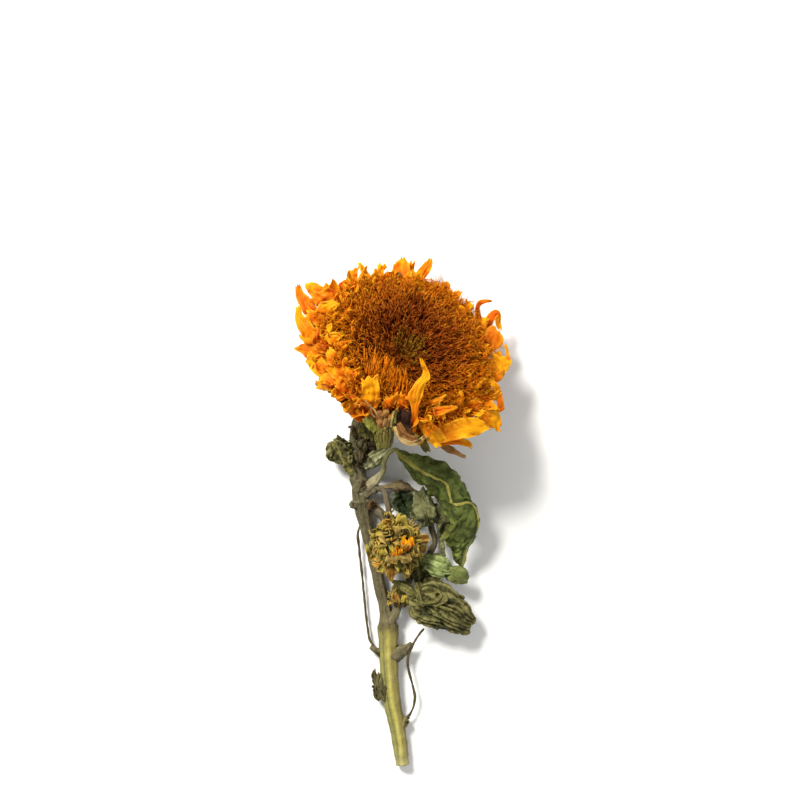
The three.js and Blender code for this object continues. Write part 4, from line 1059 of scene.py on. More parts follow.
# Petals that stand out, each from its root to its tip: rows of the pixels of both its edges in the
# photograph, with the height of the row in millimetres.
PLACED_PETALS = {
    "upper_gap_left": [(328, 312, 335, 304, 36), (317, 306, 325, 295, 39), (309, 300, 314, 291, 38)],
    "lower_gap_left": [(324, 332, 331, 322, 41), (313, 325, 319, 312, 43), (305, 317, 309, 308, 42)],
    "deep_left": [(331, 354, 335, 342, 46), (318, 352, 324, 336, 48), (308, 346, 313, 332, 47)],
    "wavy_left": [
        (318, 352, 321, 343, 46), (312, 344, 319, 334, 49), (313, 334, 320, 327, 50),
        (320, 327, 324, 323, 50),
    ],
    "orange_left": [(340, 352, 344, 344, 46), (331, 346, 336, 336, 50), (325, 339, 328, 334, 50)],
    "upright_left": [(330, 322, 337, 318, 40), (327, 313, 333, 307, 44), (325, 318, 327, 314, 44)],
    "inner_left": [(340, 371, 346, 362, 54), (329, 364, 336, 352, 56), (326, 352, 331, 346, 55)],
    "upper_inner_left": [(338, 292, 348, 296, 30), (326, 289, 334, 302, 36), (318, 293, 323, 301, 36)],
    "far_back_left": [(339, 301, 347, 297, 26), (336, 291, 345, 287, 27), (339, 282, 345, 280, 27)],
    "thin_back": [(366, 291, 371, 291, 18), (365, 281, 370, 280, 19), (366, 272, 368, 272, 19)],
    "fringe_front": [(372, 424, 374, 414, 51), (360, 422, 364, 409, 52), (348, 416, 352, 404, 52)],
    "short_front_left": [(345, 402, 352, 394, 54), (338, 391, 346, 382, 57), (334, 382, 340, 376, 57)],
    "slanted_front_left": [
        (358, 388, 364, 382, 57), (347, 377, 355, 370, 58), (341, 371, 345, 366, 57),
    ],
    "low_inner_right": [
        (483, 386, 487, 391, 24), (488, 376, 496, 384, 27), (495, 370, 504, 377, 27),
        (501, 368, 506, 371, 25),
    ],
    "stray_right": [(474, 346, 476, 338, 19), (463, 342, 465, 335, 21), (455, 341, 456, 337, 21)],
    "square_front": [
        (368, 412, 376, 411, 54), (364, 403, 379, 402, 58), (362, 391, 380, 389, 61),
        (361.6, 380, 380.4, 377, 63),
    ],
    "folded_front": [(383, 412, 391, 411, 54), (383, 402, 396, 403, 58), (387, 396, 400, 391, 60)],
    "small_front": [(398, 413, 406, 413, 53), (398, 403, 409, 404, 57), (403, 392, 410, 394, 59)],
    "hooked_front": [(352, 417, 364, 412, 52), (344, 411, 359, 402, 56), (340.5, 404, 358, 393, 57)],
    "low_left": [
        (362, 397, 361, 386, 53), (345, 394, 345, 379, 55), (328, 391, 327, 373, 52),
        (318, 388, 318, 379, 49),
    ],
    "slanted_left": [(354, 393, 359, 384, 53), (339, 381, 346, 370, 55), (327, 371, 334, 361, 54)],
    "broad_left": [
        (330, 381, 336, 373, 50), (316, 375, 326, 361, 50), (307, 364, 316, 352, 47),
        (305, 353, 307, 351, 46),
    ],
    "low_tip_left": [
        (324, 367, 330, 358, 47), (309, 361, 316, 349, 47), (301, 353, 306, 343, 45),
        (294.5, 349, 296.5, 346, 44),
    ],
    "side_tip_left": [
        (317, 346, 326, 337, 43), (304, 338, 314, 327, 44), (297.5, 326, 306, 317, 43),
        (295.5, 309, 299, 306, 41),
    ],
    "high_tip_left": [
        (320, 326, 329, 317, 36), (308, 317, 318, 307, 37), (299, 306, 309, 297, 36),
        (295.5, 286, 299, 284, 34),
    ],
    "flat_tip_left": [
        (336, 309, 341, 301, 30), (322, 303, 327, 289, 31), (312, 297, 315, 283, 30),
        (306, 288, 306, 283, 29),
    ],
    "bright_inner_left": [
        (319, 319, 325, 323, 38), (317, 309, 328, 315, 43), (321, 302, 335, 310, 46),
        (333, 300, 338, 305, 47),
    ],
    "loop_inner_left": [
        (322, 351, 329, 354, 44), (322, 340, 332, 346, 48), (331, 333, 338, 342, 50),
        (343, 331.5, 345, 334.5, 50),
    ],
    "back_left": [(352, 293, 361, 291, 22), (345, 282, 357, 279, 23), (348, 272, 359, 265, 22)],
    "forked_back": [
        (376, 291, 385, 291, 14), (379, 280, 384.5, 280, 15), (378, 272, 384, 271, 15),
        (375.5, 263.5, 387, 265.5, 15),
    ],
    "lobed_back": [
        (397, 292, 405, 291, 12), (394, 279, 408, 278, 13), (392.5, 268, 411.5, 264, 13),
        (400, 258.5, 404, 258, 12.5),
    ],
    "pointed_back": [
        (409, 290, 417, 290, 9), (413, 277, 424, 280, 10), (422, 265, 431, 271, 10),
        (429, 259, 432.5, 260.5, 9),
    ],
    "small_back": [(442, 294, 448, 295, 8.5), (444, 287, 450, 288, 9), (447, 280.5, 451, 283, 9)],
    "hook_right": [
        (477, 323, 483, 325, 11), (475, 311, 480, 312, 12), (477, 301, 481, 305, 12.5),
        (484, 298, 486, 302.5, 12.5), (493, 301.5, 493.5, 303.5, 11),
    ],
    "loop_right": [
        (483, 331, 489, 335, 14), (487, 316, 493, 323, 15), (494, 309, 497, 316, 15.5),
        (501, 314, 496, 320, 15), (501, 329, 498, 329, 14),
    ],
    "cup_right": [
        (477, 353, 482, 359, 17), (483, 338, 494, 351, 18), (487, 329, 503, 344, 17.5),
        (492, 326, 501, 334, 17),
    ],
    "bright_right": [
        (484, 377, 488, 383, 22), (490, 366, 499, 375, 23), (492, 354, 509, 369, 23),
        (499, 350.5, 512, 361, 22),
    ],
    "strip_right": [
        (500, 373, 503, 375, 21), (507, 364, 510.5, 362, 21.5), (507.5, 352, 511, 354, 21.5),
        (503, 345, 505.5, 344, 21),
    ],
    "curled_right": [
        (499, 413, 505, 409, 31), (496, 399, 502, 394, 32), (491.5, 387, 496.5, 382, 33),
        (484, 384, 486, 378.5, 33),
    ],
    "round_right": [(470, 415, 478, 414, 38), (465, 407, 482, 406, 41), (468, 399.5, 478, 399.5, 42)],
    "low_right": [
        (475, 425, 476, 414, 36), (484, 427, 486, 410, 37), (494, 430, 496, 412, 36),
        (498, 432, 502, 423, 35),
    ],
    "tall_front": [
        (409, 438, 414, 438, 51), (410.5, 422, 417, 422, 56), (411.5, 408, 419, 407, 59),
        (408.5, 397, 423, 394, 61), (413, 387, 427, 383, 62.5), (420, 376, 429.5, 379, 63),
        (423, 368, 428, 371, 63.5), (421, 362, 425, 361, 63.5),
    ],
    "long_upper": [
        (423, 417, 422, 409, 52), (434, 416, 433, 406.5, 54), (447, 413.5, 446, 405.5, 54),
        (456, 408.5, 456, 405.5, 53),
    ],
    "thin_upper": [(426, 408, 425, 403, 53), (436, 404, 435, 398.5, 55), (447, 397.5, 446, 394.5, 55)],
    "long_low": [
        (432, 444, 428, 434, 49), (446, 442, 440, 427, 50), (462, 438, 455, 419, 50),
        (477, 435.5, 474, 418.5, 48), (490, 432, 489, 428, 45),
    ],
    "yellow_low": [
        (417, 419, 425, 416, 54), (420, 430, 434, 424, 54), (429, 442, 443, 434, 51),
        (436, 446, 446, 441, 49),
    ],
    "strip_low": [
        (434, 446, 433, 440, 47), (449, 445, 450, 437, 47), (462, 445, 463, 437.5, 46),
        (471, 449, 472, 445, 45),
    ],
}
PLACED_STYLE = dict(
    rows=24, columns=13, roll=0.7, pleat=0.5, grain=0.8, buckle=0.8, ruffle=0.7, ruffles=2.2,
    teeth=0.045, crumple=1.2, thickness=0.22, tints=(0.1, 0.8),
)
# The petals that dried a bright yellow all over.
YELLOW_PETALS = (
    "square_front", "long_low", "tall_front", "bright_inner_left", "bright_right", "strip_right",
    "curled_right", "broad_left", "side_tip_left", "yellow_low", "low_right", "loop_inner_left",
    "hooked_front",
)


def petal_specs(rows, around):
    """The petals of these rows, each with its place on the ring, its size and its curl."""
    stray, aside, bends = around
    specs = []
    for seed, count, inset, height, length, width, rise, curl in rows:
        random = random_stream(seed)
        for i in range(count):
            station = 360 * (i + random(-stray, stray)) / count
            back = math.sin(math.radians(station))
            spec = dict(start=on_ring(station, RIM_RADIUS - inset, height))
            spec["heading"] = station + random(-aside, aside)
            spec.update(drawn(random, length=length, width=width, rise=rise, curl=curl, **bends))
            spec["length"] *= 1 - BACK_SHORTENING * max(back, 0)
            spec["rise"] += FRONT_LIFT * max(-back, 0)
            specs.append(fitted(spec))
    return [spec for spec in specs if spec]


def make_petal_skin():
    skin, tree = new_material("petal_skin")
    along, tint = mark(tree, "along"), mark(tree, "tint")
    fibre = place_group(tree, fibres, "Fibre", count=7.0, stretch=1.4)
    patch = mottled(tree, 190.0, 0.28)
    uneven = times(tree, minus(tree, patch, 0.5), 0.5)
    own = times(tree, minus(tree, tint, 0.5), 0.6)
    shift = plus(tree, along, plus(tree, uneven, own))
    ground = ramp(tree, shift, [
        (0.0, "#862600"), (0.2, "#AE4402"), (0.45, "#CC6403"), (0.72, "#DC7A04"), (1.0, "#ECA20C"),
    ])
    # Painted shade: deeper orange in the hollows of the creases. Painted highlight: yellow on their
    # crests.
    colour = tinge(tree, ground, "#B04000", relief(tree, 0.1, -1.1), 0.4)
    colour = tinge(tree, colour, "#F4B01C", relief(tree, 0.3, 1.2), 0.5)
    colour = tinge(tree, colour, "#B84600", fibre, 0.42)
    rim = to_power(tree, size_of(tree, mark(tree, "across")), 6.0)
    colour = tinge(tree, colour, "#F6BC30", rim, 0.45)
    height = plus(tree, fibre, times(tree, patch, 0.4))
    face = dry_surface(skin, colour, height, 0.2, 0.6, patch, shine=0.1)
    face.inputs["Subsurface Weight"].default_value = 0.25
    face.inputs["Subsurface Radius"].default_value = (1.0, 0.4, 0.05)
    face.inputs["Subsurface Scale"].default_value = 0.0016
    return skin


petal_skin = make_petal_skin()
petals = Growth()
add_lathe(petals, finer(PETAL_RIM, 3), sides=72, put=bloom_place, rough=0.8, tint=0.0)
petal_random = random_stream(401)
for petal_name, petal_rows in PLACED_PETALS.items():
    petal_tints = (0.85, 1.25) if petal_name in YELLOW_PETALS else PLACED_STYLE["tints"]
    add_placed(petals, petal_random, petal_rows, dict(PLACED_STYLE, tints=petal_tints))
    STANDING.append([row[:2] for row in petal_rows[1:]] + [row[2:4] for row in petal_rows[:0:-1]])
for petal_spec in petal_specs(PETAL_ROWS, PETAL_SPREAD):
    add_blade(petals, petal_random, petal_spec, PETAL_STYLE, bloom_place)
petals.piece("bloom_petal_ring", petal_skin, ["bloom_petals"])

quills = Growth()
for petal_spec in petal_specs(QUILL_ROWS, QUILL_SPREAD):
    add_blade(quills, petal_random, petal_spec, QUILL_STYLE, bloom_place)
quills.piece("bloom_quills", petal_skin)

# Disc florets
# Thousands of thin dry florets that grow from the disc on a spiral, short and dark at its dimpled
# middle, long and combed outwards near its rim. Each ends in two curled threads, and those near the rim
# stay orange.
FLORET_COUNT = 3000
RIM_FLORET_COUNT = 1000
COMBED_COUNT = 260
# The youngest florets, at the middle of the disc, never opened and stayed olive.
YOUNG_RADIUS = 9
# The florets show inside this edge in the photograph, in pixels; only petals stand out beyond it.
FLORET_OUTLINE = [
    (310, 318), (322, 297), (345, 285), (378, 278), (410, 277), (440, 283), (470, 294), (490, 312),
    (500, 350), (500, 395), (484, 420), (440, 428), (400, 420), (366, 412), (335, 394), (313, 352),
]
# The florets are darkest about this point of the disc.
DARK_MIDDLE = Vector((-1.5, 3, 0))
DISC_EDGE_HEIGHT = 1.2
DISC_FULLNESS = 2.4
DIMPLE_DEPTH = 3.4
DIMPLE_RADIUS = 9
GOLDEN_TURN = 180 * (3 - math.sqrt(5))
# How deep a floret is rooted, in millimetres, and the share of its length below its two threads.
FLORET_ROOT = 0.6
FORK_AT = 0.68
# The long combed florets stand on this arc of the disc, and lean so many degrees to one side.
COMBED_ARC = (258, 300)
COMBED_LEAN = 38


def disc_height(radius):
    dome = DISC_RISE * (1 - (radius / DISC_RADIUS) ** DISC_FULLNESS)
    return GAP + DISC_EDGE_HEIGHT + dome - DIMPLE_DEPTH * math.exp(-((radius / DIMPLE_RADIUS) ** 2))


def add_thread(growth, points, radii, marks, put):
    """A thin three-sided thread along its points, closed at both ends."""
    places, each = [], []
    for index, point in enumerate(points):
        ahead = (points[min(index + 1, len(points) - 1)] - points[max(index - 1, 0)]).normalized()
        level = ahead.cross(Vector((0.31, 0.2, 0.93))).normalized()
        over = ahead.cross(level)
        for corner in range(3):
            turn = 2 * math.pi * corner / 3 + index
            places.append(put(point + (level * math.cos(turn) + over * math.sin(turn)) * radii[index]))
            each.append(marks[index])
    last = len(places) - 3
    faces = ring_faces(len(points) - 1, 3) + [(2, 1, 0), (last, last + 1, last + 2)]
    growth.add(places, faces, each)


def bent_path(start, tilt, curl, way, swerve, length, steps):
    points = [start]
    for step in range(1, steps + 1):
        s = step / steps
        lean, turn = tilt + curl * s, way + swerve * s
        level = math.sin(lean)
        ahead = Vector((level * math.cos(turn), level * math.sin(turn), math.cos(lean)))
        points.append(points[-1] + ahead * length / steps)
    return points


def add_floret(growth, random, heading, radius, put):
    share = radius / DISC_RADIUS
    tall = (3.6 + 0.21 * radius) * random(0.7, 1.2)
    tilt = math.radians(4 + 36 * share + random(-12, 12))
    way = math.radians(heading + random(-16, 16))
    start = on_ring(heading, radius, disc_height(radius) - FLORET_ROOT)
    outer = (start - DARK_MIDDLE).xy.length / DISC_RADIUS if radius > random(2, YOUNG_RADIUS) else -0.4
    tint = random(0, 1)
    curl, swerve = math.radians(random(-14, 26)), math.radians(random(-30, 30))
    path = bent_path(start, tilt, curl, way, swerve, tall, 3)
    thick = random(0.17, 0.32)
    if share > 0.7 and not stands_clear(path[-1], FLORET_OUTLINE):
        return
    marks = [(FORK_AT * i / 3, outer, tint, 0, 0) for i in range(4)]
    add_thread(growth, path, [thick, thick, thick * 1.1, thick * 0.9], marks, put)
    for fork in (-1, 1):
        fork_tilt = tilt + math.radians(random(0, 34))
        fork_way = way + fork * math.radians(random(8, 46))
        curl = math.radians(random(-10, 70))
        reach = tall * random(0.28, 0.56)
        swerve = fork * math.radians(random(-40, 70))
        tips = bent_path(path[-1], fork_tilt, curl, fork_way, swerve, reach, 3)
        marks = [(FORK_AT + (1 - FORK_AT) * i / 3, outer, tint, 0, 0) for i in range(4)]
        add_thread(growth, tips, [thick * 0.8, thick * 0.75, thick * 0.6, thick * 0.25], marks, put)


def add_rim_floret(growth, random, put):
    """A long orange floret of the outer rows: one thin curled thread."""
    heading = random(0, 360)
    radius = DISC_RADIUS * random(0.7, 1.02)
    start = on_ring(heading, radius, disc_height(min(radius, DISC_RADIUS)) - FLORET_ROOT)
    outer = (start - DARK_MIDDLE).xy.length / DISC_RADIUS + 0.12
    tall = random(7, 12.5)
    tilt = math.radians(random(6, 56))
    way = math.radians(heading + random(-34, 34))
    curl, swerve = math.radians(random(-30, 60)), math.radians(random(-60, 60))
    path = bent_path(start, tilt, curl, way, swerve, tall, 6)
    thick = random(0.24, 0.46)
    tint = random(0, 1)
    if not all(stands_clear(point, FLORET_OUTLINE) for point in path[2:]):
        return
    marks = [(0.3 + 0.7 * i / 6, outer, tint, 0, 0) for i in range(7)]
    add_thread(growth, path, [thick * k for k in (0.7, 0.9, 1.1, 1.3, 1.3, 0.9, 0.2)], marks, put)


def add_combed_floret(growth, random, put):
    """One of the long upright florets that stand close together behind the front petals."""
    heading = random(*COMBED_ARC)
    height = disc_height(DISC_RADIUS * 0.9) - FLORET_ROOT
    start = on_ring(heading, DISC_RADIUS * random(0.78, 1), height)
    tall = random(12, 21)
    tilt, curl = math.radians(random(-50, -12)), math.radians(random(-24, 14))
    way = math.radians(heading + COMBED_LEAN + random(-20, 20))
    swerve = math.radians(random(-24, 24))
    path = bent_path(start, tilt, curl, way, swerve, tall, 6)
    thick = random(0.24, 0.44)
    tint = random(0, 1)
    if all(stands_clear(point) for point in path[4:]):
        marks = [(0.3 + 0.6 * i / 6, random(0.92, 1.1), tint, 0, 0) for i in range(7)]
        add_thread(growth, path, [thick * k for k in (0.8, 0.9, 1, 1.1, 1, 0.8, 0.2)], marks, put)


def make_floret_skin():
    skin, tree = new_material("floret_skin")
    along, share, tint = mark(tree, "along"), mark(tree, "across"), mark(tree, "tint")
    patch = mottled(tree, 130.0, 0.12)
    fine = mottled(tree, 900.0, 0.3)
    dark = ramp(tree, along, [(0.0, "#1C0600"), (0.4, "#481400"), (0.7, "#8A3404"), (1.0, "#B8601C")])
    bright = ramp(tree, along, [
        (0.0, "#742000"), (0.3, "#C44A00"), (0.65, "#E26C04"), (1.0, "#F29A14"),
    ])
    uneven = plus(tree, share, times(tree, plus(tree, tint, patch), 0.2))
    outer = spread(tree, uneven, 0.62, 1.02)
    colour = blend_colours(tree, outer, dark, bright)
    odd = times(tree, to_power(tree, tint, 5.0), times(tree, along, 0.7))
    colour = blend_colours(tree, odd, colour, "#CC7A20")
    colour = tinge(tree, colour, "#2A0A00", to_power(tree, minus(tree, 1.0, tint), 3.0), 0.6)
    young = times(tree, spread(tree, share, 0.0, -0.3), spread(tree, along, 0.2, 0.9, 0.1, 0.8))
    colour = blend_colours(tree, young, colour, "#9A7A1E")
    dry_surface(skin, colour, fine, 0.1, 0.7, fine, shine=0.06)
    return skin


floret_skin = make_floret_skin()
disc = Growth()
disc_profile = [(r, disc_height(r)) for r in np.linspace(0, DISC_RADIUS, 16)]
disc_profile = [(0, GAP), (DISC_RADIUS, GAP)] + disc_profile[::-1]
add_lathe(disc, disc_profile, sides=60, put=bloom_place, rough=0.0, tint=0.1)
floret_random = random_stream(53)
for floret in range(FLORET_COUNT):
    floret_radius = DISC_RADIUS * math.sqrt((floret + 0.5) / FLORET_COUNT)
    add_floret(disc, floret_random, floret * GOLDEN_TURN, floret_radius, bloom_place)
disc.piece("bloom_disc", floret_skin, ["bloom_florets"])
rim_florets = Growth()
for floret in range(RIM_FLORET_COUNT):
    add_rim_floret(rim_florets, floret_random, bloom_place)
for floret in range(COMBED_COUNT):
    add_combed_floret(rim_florets, floret_random, bloom_place)
rim_florets.piece("bloom_rim_florets", floret_skin)

# Side buds
# Two closed buds: a round one covered with papery scales that curled back into little cups, with orange
# floret tufts between them, and a small one of a few scales at the foot of the side shoot.
SIDE_BUD = dict(centre=(-2.6, 100.6, 15.4), axis=(0.16, -0.42, 0.89), radius=10.4, seed=83)
SMALL_BUD = dict(centre=(-3.2, 76.6, 6.8), axis=(-0.2, 0.5, 0.84), radius=3.2, seed=89)
# Each bud's core, as a share of its radius. Its scales cover it.
SIDE_BUD_CORE = 0.88
SMALL_BUD_CORE = 0.85
# How far a scale bends and twists, in degrees.
SCALE_BENDS = dict(bend=(-30, 30), twist=(-30, 30))
SCALE_STYLE = dict(
    rows=12, columns=9, wander=20, roll=2.6, pleat=0.5, grain=1.0, buckle=0.9, ruffle=0.8, ruffles=1.8,
    tip=0.3, teeth=0.08, crumple=1.6, thickness=0.3, root=0.8, tints=(0, 1),
)
# Tufts of orange florets that show between the scales: where each is, its reach and how many it has.
BUD_TUFTS = [((-1, 101.4, 25.4), 3.2, 14), ((-5, 96.6, 24.4), 2, 8), ((5.4, 103.2, 22), 1.8, 5)]
# Scales of the buds that stand out: rows of the pixels of both edges from root to tip, with the height
# of the row in millimetres, then the tint.
PLACED_SCALES = [
    ([(397, 530, 407, 530, 22), (395.5, 524, 408, 525, 25), (396.5, 518.5, 407, 517.5, 25.5),
      (400, 516, 404, 516, 24)], 0.42),
    ([(398, 539, 402, 542, 25), (395, 533, 400, 534.6, 27), (396.6, 527, 401.6, 529, 28.6),
      (403, 524.6, 405, 527.4, 28.8)], 0.95),
    ([(412, 541, 407, 542, 25), (414, 534, 409, 534.6, 27), (412, 527.6, 407.6, 529.6, 28.6),
      (406, 525, 405, 528, 28.8)], 0.4),
    ([(402, 534, 408, 534, 26), (402, 530.6, 408, 530.6, 27.6), (403.6, 527.6, 406.4, 527.6, 28)], 0.1),
    ([(390, 545, 387, 547, 23), (384.6, 545, 384, 536.6, 25.6), (378.6, 541.6, 380, 534.4, 25)], 0.9),
    ([(388.6, 556, 384, 559.6, 22.6), (387, 551, 377.6, 556, 25.4), (384.6, 545.6, 377.6, 549, 25.4)],
     0.46),
    ([(373, 557, 369, 559, 16), (369, 551, 365.4, 553, 18), (366, 545.4, 364, 547, 18)], 0.36),
    ([(376, 552, 371, 552, 17), (374, 546, 368.6, 547, 19), (372, 541, 368, 542, 19)], 0.2),
    ([(386, 560, 381, 564.6, 19), (379, 563, 377, 568.4, 19.6), (373, 560.6, 372, 564, 18.6)], 0.72),
    ([(387, 555, 397.6, 555, 25), (386, 559.6, 398, 560, 26), (387.6, 563.8, 396.6, 564, 24)], 0.97),
    ([(399, 555, 410, 553.6, 25), (399.4, 559.4, 411.4, 558, 26), (400.6, 562.6, 410, 561.6, 24)],
     0.93),
    ([(387, 565, 396.6, 565, 18), (385.4, 570.6, 397.8, 570.6, 20), (387.4, 576, 396, 576, 19),
      (391, 580, 393, 580, 17)], 0.7),
    ([(402, 566, 409, 564, 17), (403, 572, 411, 570, 18), (406, 578, 410, 577, 16)], 0.3),
    ([(416, 543, 414, 536, 21), (422, 542.6, 421, 534, 22), (428.4, 539, 427, 532.4, 20)], 0.62),
    ([(413, 557, 418.6, 557, 22.6), (412.4, 550.6, 419.8, 550.6, 25), (414, 544.6, 418.8, 544.4, 25)],
     0.92),
    ([(421, 556, 426, 552, 18), (421, 550, 427.6, 547, 20), (422.6, 545, 427, 543, 20)], 0.6),
    ([(384, 522.6, 390.6, 522.6, 12), (383.4, 516, 391.2, 516.4, 14), (385, 511, 389.6, 511, 13.6)],
     0.44),
    ([(381, 534.6, 390, 533.6, 17), (379.6, 529, 391, 528.6, 19.4), (383, 525, 389, 524.6, 19)], 0.55),
    ([(399, 607, 394, 606, 8), (400.4, 600.6, 392, 598.6, 10.8), (398.6, 594, 393, 592, 10.8)], 0.64),
    ([(402, 606.6, 407, 606.6, 9), (401, 600.6, 408.4, 600.4, 11.4),
      (402.4, 594.6, 407.4, 594.2, 11.2)], 0.47),
    ([(407.6, 605.6, 411.4, 604, 8), (408, 599.4, 413.6, 598.6, 10), (409, 593.6, 412.8, 593.4, 9.6)],
     0.88),
    ([(397, 598, 403, 597, 9), (395.6, 591, 404.4, 590.4, 10.6), (398, 585, 402.4, 584.6, 10)], 0.12),
]
# Orange petals that show between the bud's scales, in the same way.
PLACED_TUFTS = [
    [(401.6, 550, 406, 550, 24), (401, 544, 406.6, 543, 27.4), (401.6, 538.6, 405, 538, 28.4)],
    [(407, 549.6, 412, 548.6, 24), (408, 543.6, 413.8, 541.6, 27.4), (409, 538.6, 412.6, 537.4, 28)],
    [(404, 550.6, 409.6, 550.6, 25), (404, 546, 411, 545.4, 28.6), (405.6, 541, 411, 541, 29.2)],
    [(393, 558.6, 397, 559.4, 24), (391.6, 553.8, 397.4, 553.4, 27), (393, 549, 396.6, 548.8, 27.4)],
    [(397, 558.6, 401, 557.4, 24), (397.4, 553.8, 401.8, 552, 27), (398.6, 549, 401, 548, 27.2)],
]


def bud_place(bud):
    turned = Vector((0, 0, 1)).rotation_difference(Vector(bud["axis"]).normalized())
    return lambda point: Vector(bud["centre"]) + turned @ Vector(point)


def add_scales(growth, random, bud, rows, put):
    """Scales on a spiral round a bud, with their sizes given as shares of its radius."""
    count, cover, turn, root, lift, length, width, curl = rows
    for i in range(count):
        polar = math.acos(1 - cover * (i + 0.5) / count)
        heading = i * GOLDEN_TURN + turn
        reach = bud["radius"] * root
        spec = drawn(random, rise=lift, length=length, width=width, curl=curl, **SCALE_BENDS)
        spec["start"] = on_ring(heading, math.sin(polar) * reach, math.cos(polar) * reach)
        spec["heading"] = heading
        spec["rise"] += 90 - math.degrees(polar)
        spec["length"] *= bud["radius"]
        spec["width"] *= bud["radius"]
        add_blade(growth, random, spec, SCALE_STYLE, put)


def add_ball(growth, radius, put, tint):
    turns = [math.pi * i / 16 for i in range(17)]
    profile = [(radius * math.sin(turn), -radius * math.cos(turn)) for turn in turns]
    add_lathe(growth, profile, 32, put, 0.8, tint)


def make_scale_skin():
    skin, tree = new_material("scale_skin")
    along = mark(tree, "along")
    fibre = place_group(tree, fibres, "Fibre", count=5.0, stretch=1.5)
    patch = mottled(tree, 300.0, 0.2)
    rim = to_power(tree, size_of(tree, mark(tree, "across")), 3.0)
    tip = to_power(tree, along, 5.0)
    kinds = ramp(tree, mark(tree, "tint"), [
        (0.0, "#3E4414"), (0.18, "#626424"), (0.34, "#8A842C"), (0.5, "#AC8E20"), (0.64, "#965210"),
        (0.76, "#C8880E"), (0.88, "#8E7640"), (1.0, "#B08E48"),
    ])
    dark = blend_colours(tree, spread(tree, along, 0.7, 0.12), kinds, "#140E06")
    shaded = tinge(tree, dark, "#241A0A", relief(tree, 0.0, -0.9), 0.7)
    shaded = tinge(tree, shaded, "#3E2E12", patch, 0.35)
    gold = tinge(tree, shaded, "#BEA654", sum_of(tree, "MAXIMUM", rim, tip), 0.6)
    colour = tinge(tree, gold, "#B89C48", fibre, 0.2)
    dry_surface(skin, colour, plus(tree, fibre, patch), 0.2, 0.72, patch)
    return skin


scale_skin = make_scale_skin()
# Scales round a bud: their count, how far down the bud they cover it, the turn of the first, where they
# are rooted as a share of the radius, and the ranges of their lift, length, width and curl.
LARGE_SCALES = (36, 1.86, 0, 0.8, (-4, 40), (0.4, 0.62), (0.4, 0.6), (-30, 100))
FINE_SCALES = (130, 1.8, 40, 0.9, (-30, 50), (0.26, 0.56), (0.16, 0.38), (-90, 130))
SMALL_BUD_SCALES = (12, 1.86, 0, 0.8, (-30, 20), (0.7, 1.1), (0.8, 1.3), (0, 70))
PLACED_SCALE_STYLE = dict(SCALE_STYLE, rows=16, columns=11, roll=1.6, crumple=1.0)
side_bud = Growth()
side_bud_place = bud_place(SIDE_BUD)
add_ball(side_bud, SIDE_BUD["radius"] * SIDE_BUD_CORE, side_bud_place, 0.0)
scale_random = random_stream(SIDE_BUD["seed"])
add_scales(side_bud, scale_random, SIDE_BUD, LARGE_SCALES, side_bud_place)
add_scales(side_bud, scale_random, SIDE_BUD, FINE_SCALES, side_bud_place)
for scale_rows, scale_tint in PLACED_SCALES:
    tinted = dict(PLACED_SCALE_STYLE, tints=(scale_tint, scale_tint))
    add_placed(side_bud, scale_random, scale_rows, tinted)
side_bud.piece("bud_scales", scale_skin, ["side_bud"])
small_bud = Growth()
small_bud_place = bud_place(SMALL_BUD)
scale_random = random_stream(SMALL_BUD["seed"])
add_ball(small_bud, SMALL_BUD["radius"] * SMALL_BUD_CORE, small_bud_place, 0.0)
add_scales(small_bud, scale_random, SMALL_BUD, SMALL_BUD_SCALES, small_bud_place)
small_bud.piece("small_bud_scales", scale_skin, ["small_bud"])

TUFT_STYLE = dict(QUILL_STYLE, rows=8, columns=4, crumple=0.5, tints=(0.5, 1))
PLACED_TUFT_STYLE = dict(PLACED_STYLE, rows=14, columns=9, roll=1.6, tints=(0.7, 1))
# The tufts are rooted at this share of the bud's radius.
TUFT_ROOT = 0.86
TUFT_SIZES = dict(
    heading=(-30, 30), rise=(-30, 30), length=(2.4, 4.6), width=(1.2, 2.6), curl=(-30, 60),
    bend=(-40, 40), twist=(-60, 60),
)
tufts = Growth()
tuft_random = random_stream(97)
for tuft_rows in PLACED_TUFTS:
    add_placed(tufts, tuft_random, tuft_rows, PLACED_TUFT_STYLE)
bud_centre = Vector(SIDE_BUD["centre"])
for tuft_place, tuft_reach, tuft_count in BUD_TUFTS:
    for blade in range(tuft_count):
        away = Vector((tuft_random(-1, 1), tuft_random(-1, 1), 0)) * tuft_reach
        outward = (Vector(tuft_place) + away - bud_centre).normalized()
        tuft_start = bud_centre + outward * SIDE_BUD["radius"] * TUFT_ROOT
        tuft_spec = dict(drawn(tuft_random, **TUFT_SIZES), start=tuft_start)
        tuft_spec["heading"] += math.degrees(math.atan2(outward.y, outward.x))
        tuft_spec["rise"] += math.degrees(math.asin(outward.z))
        add_blade(tufts, tuft_random, tuft_spec, TUFT_STYLE)
tufts.piece("bud_tufts", petal_skin)

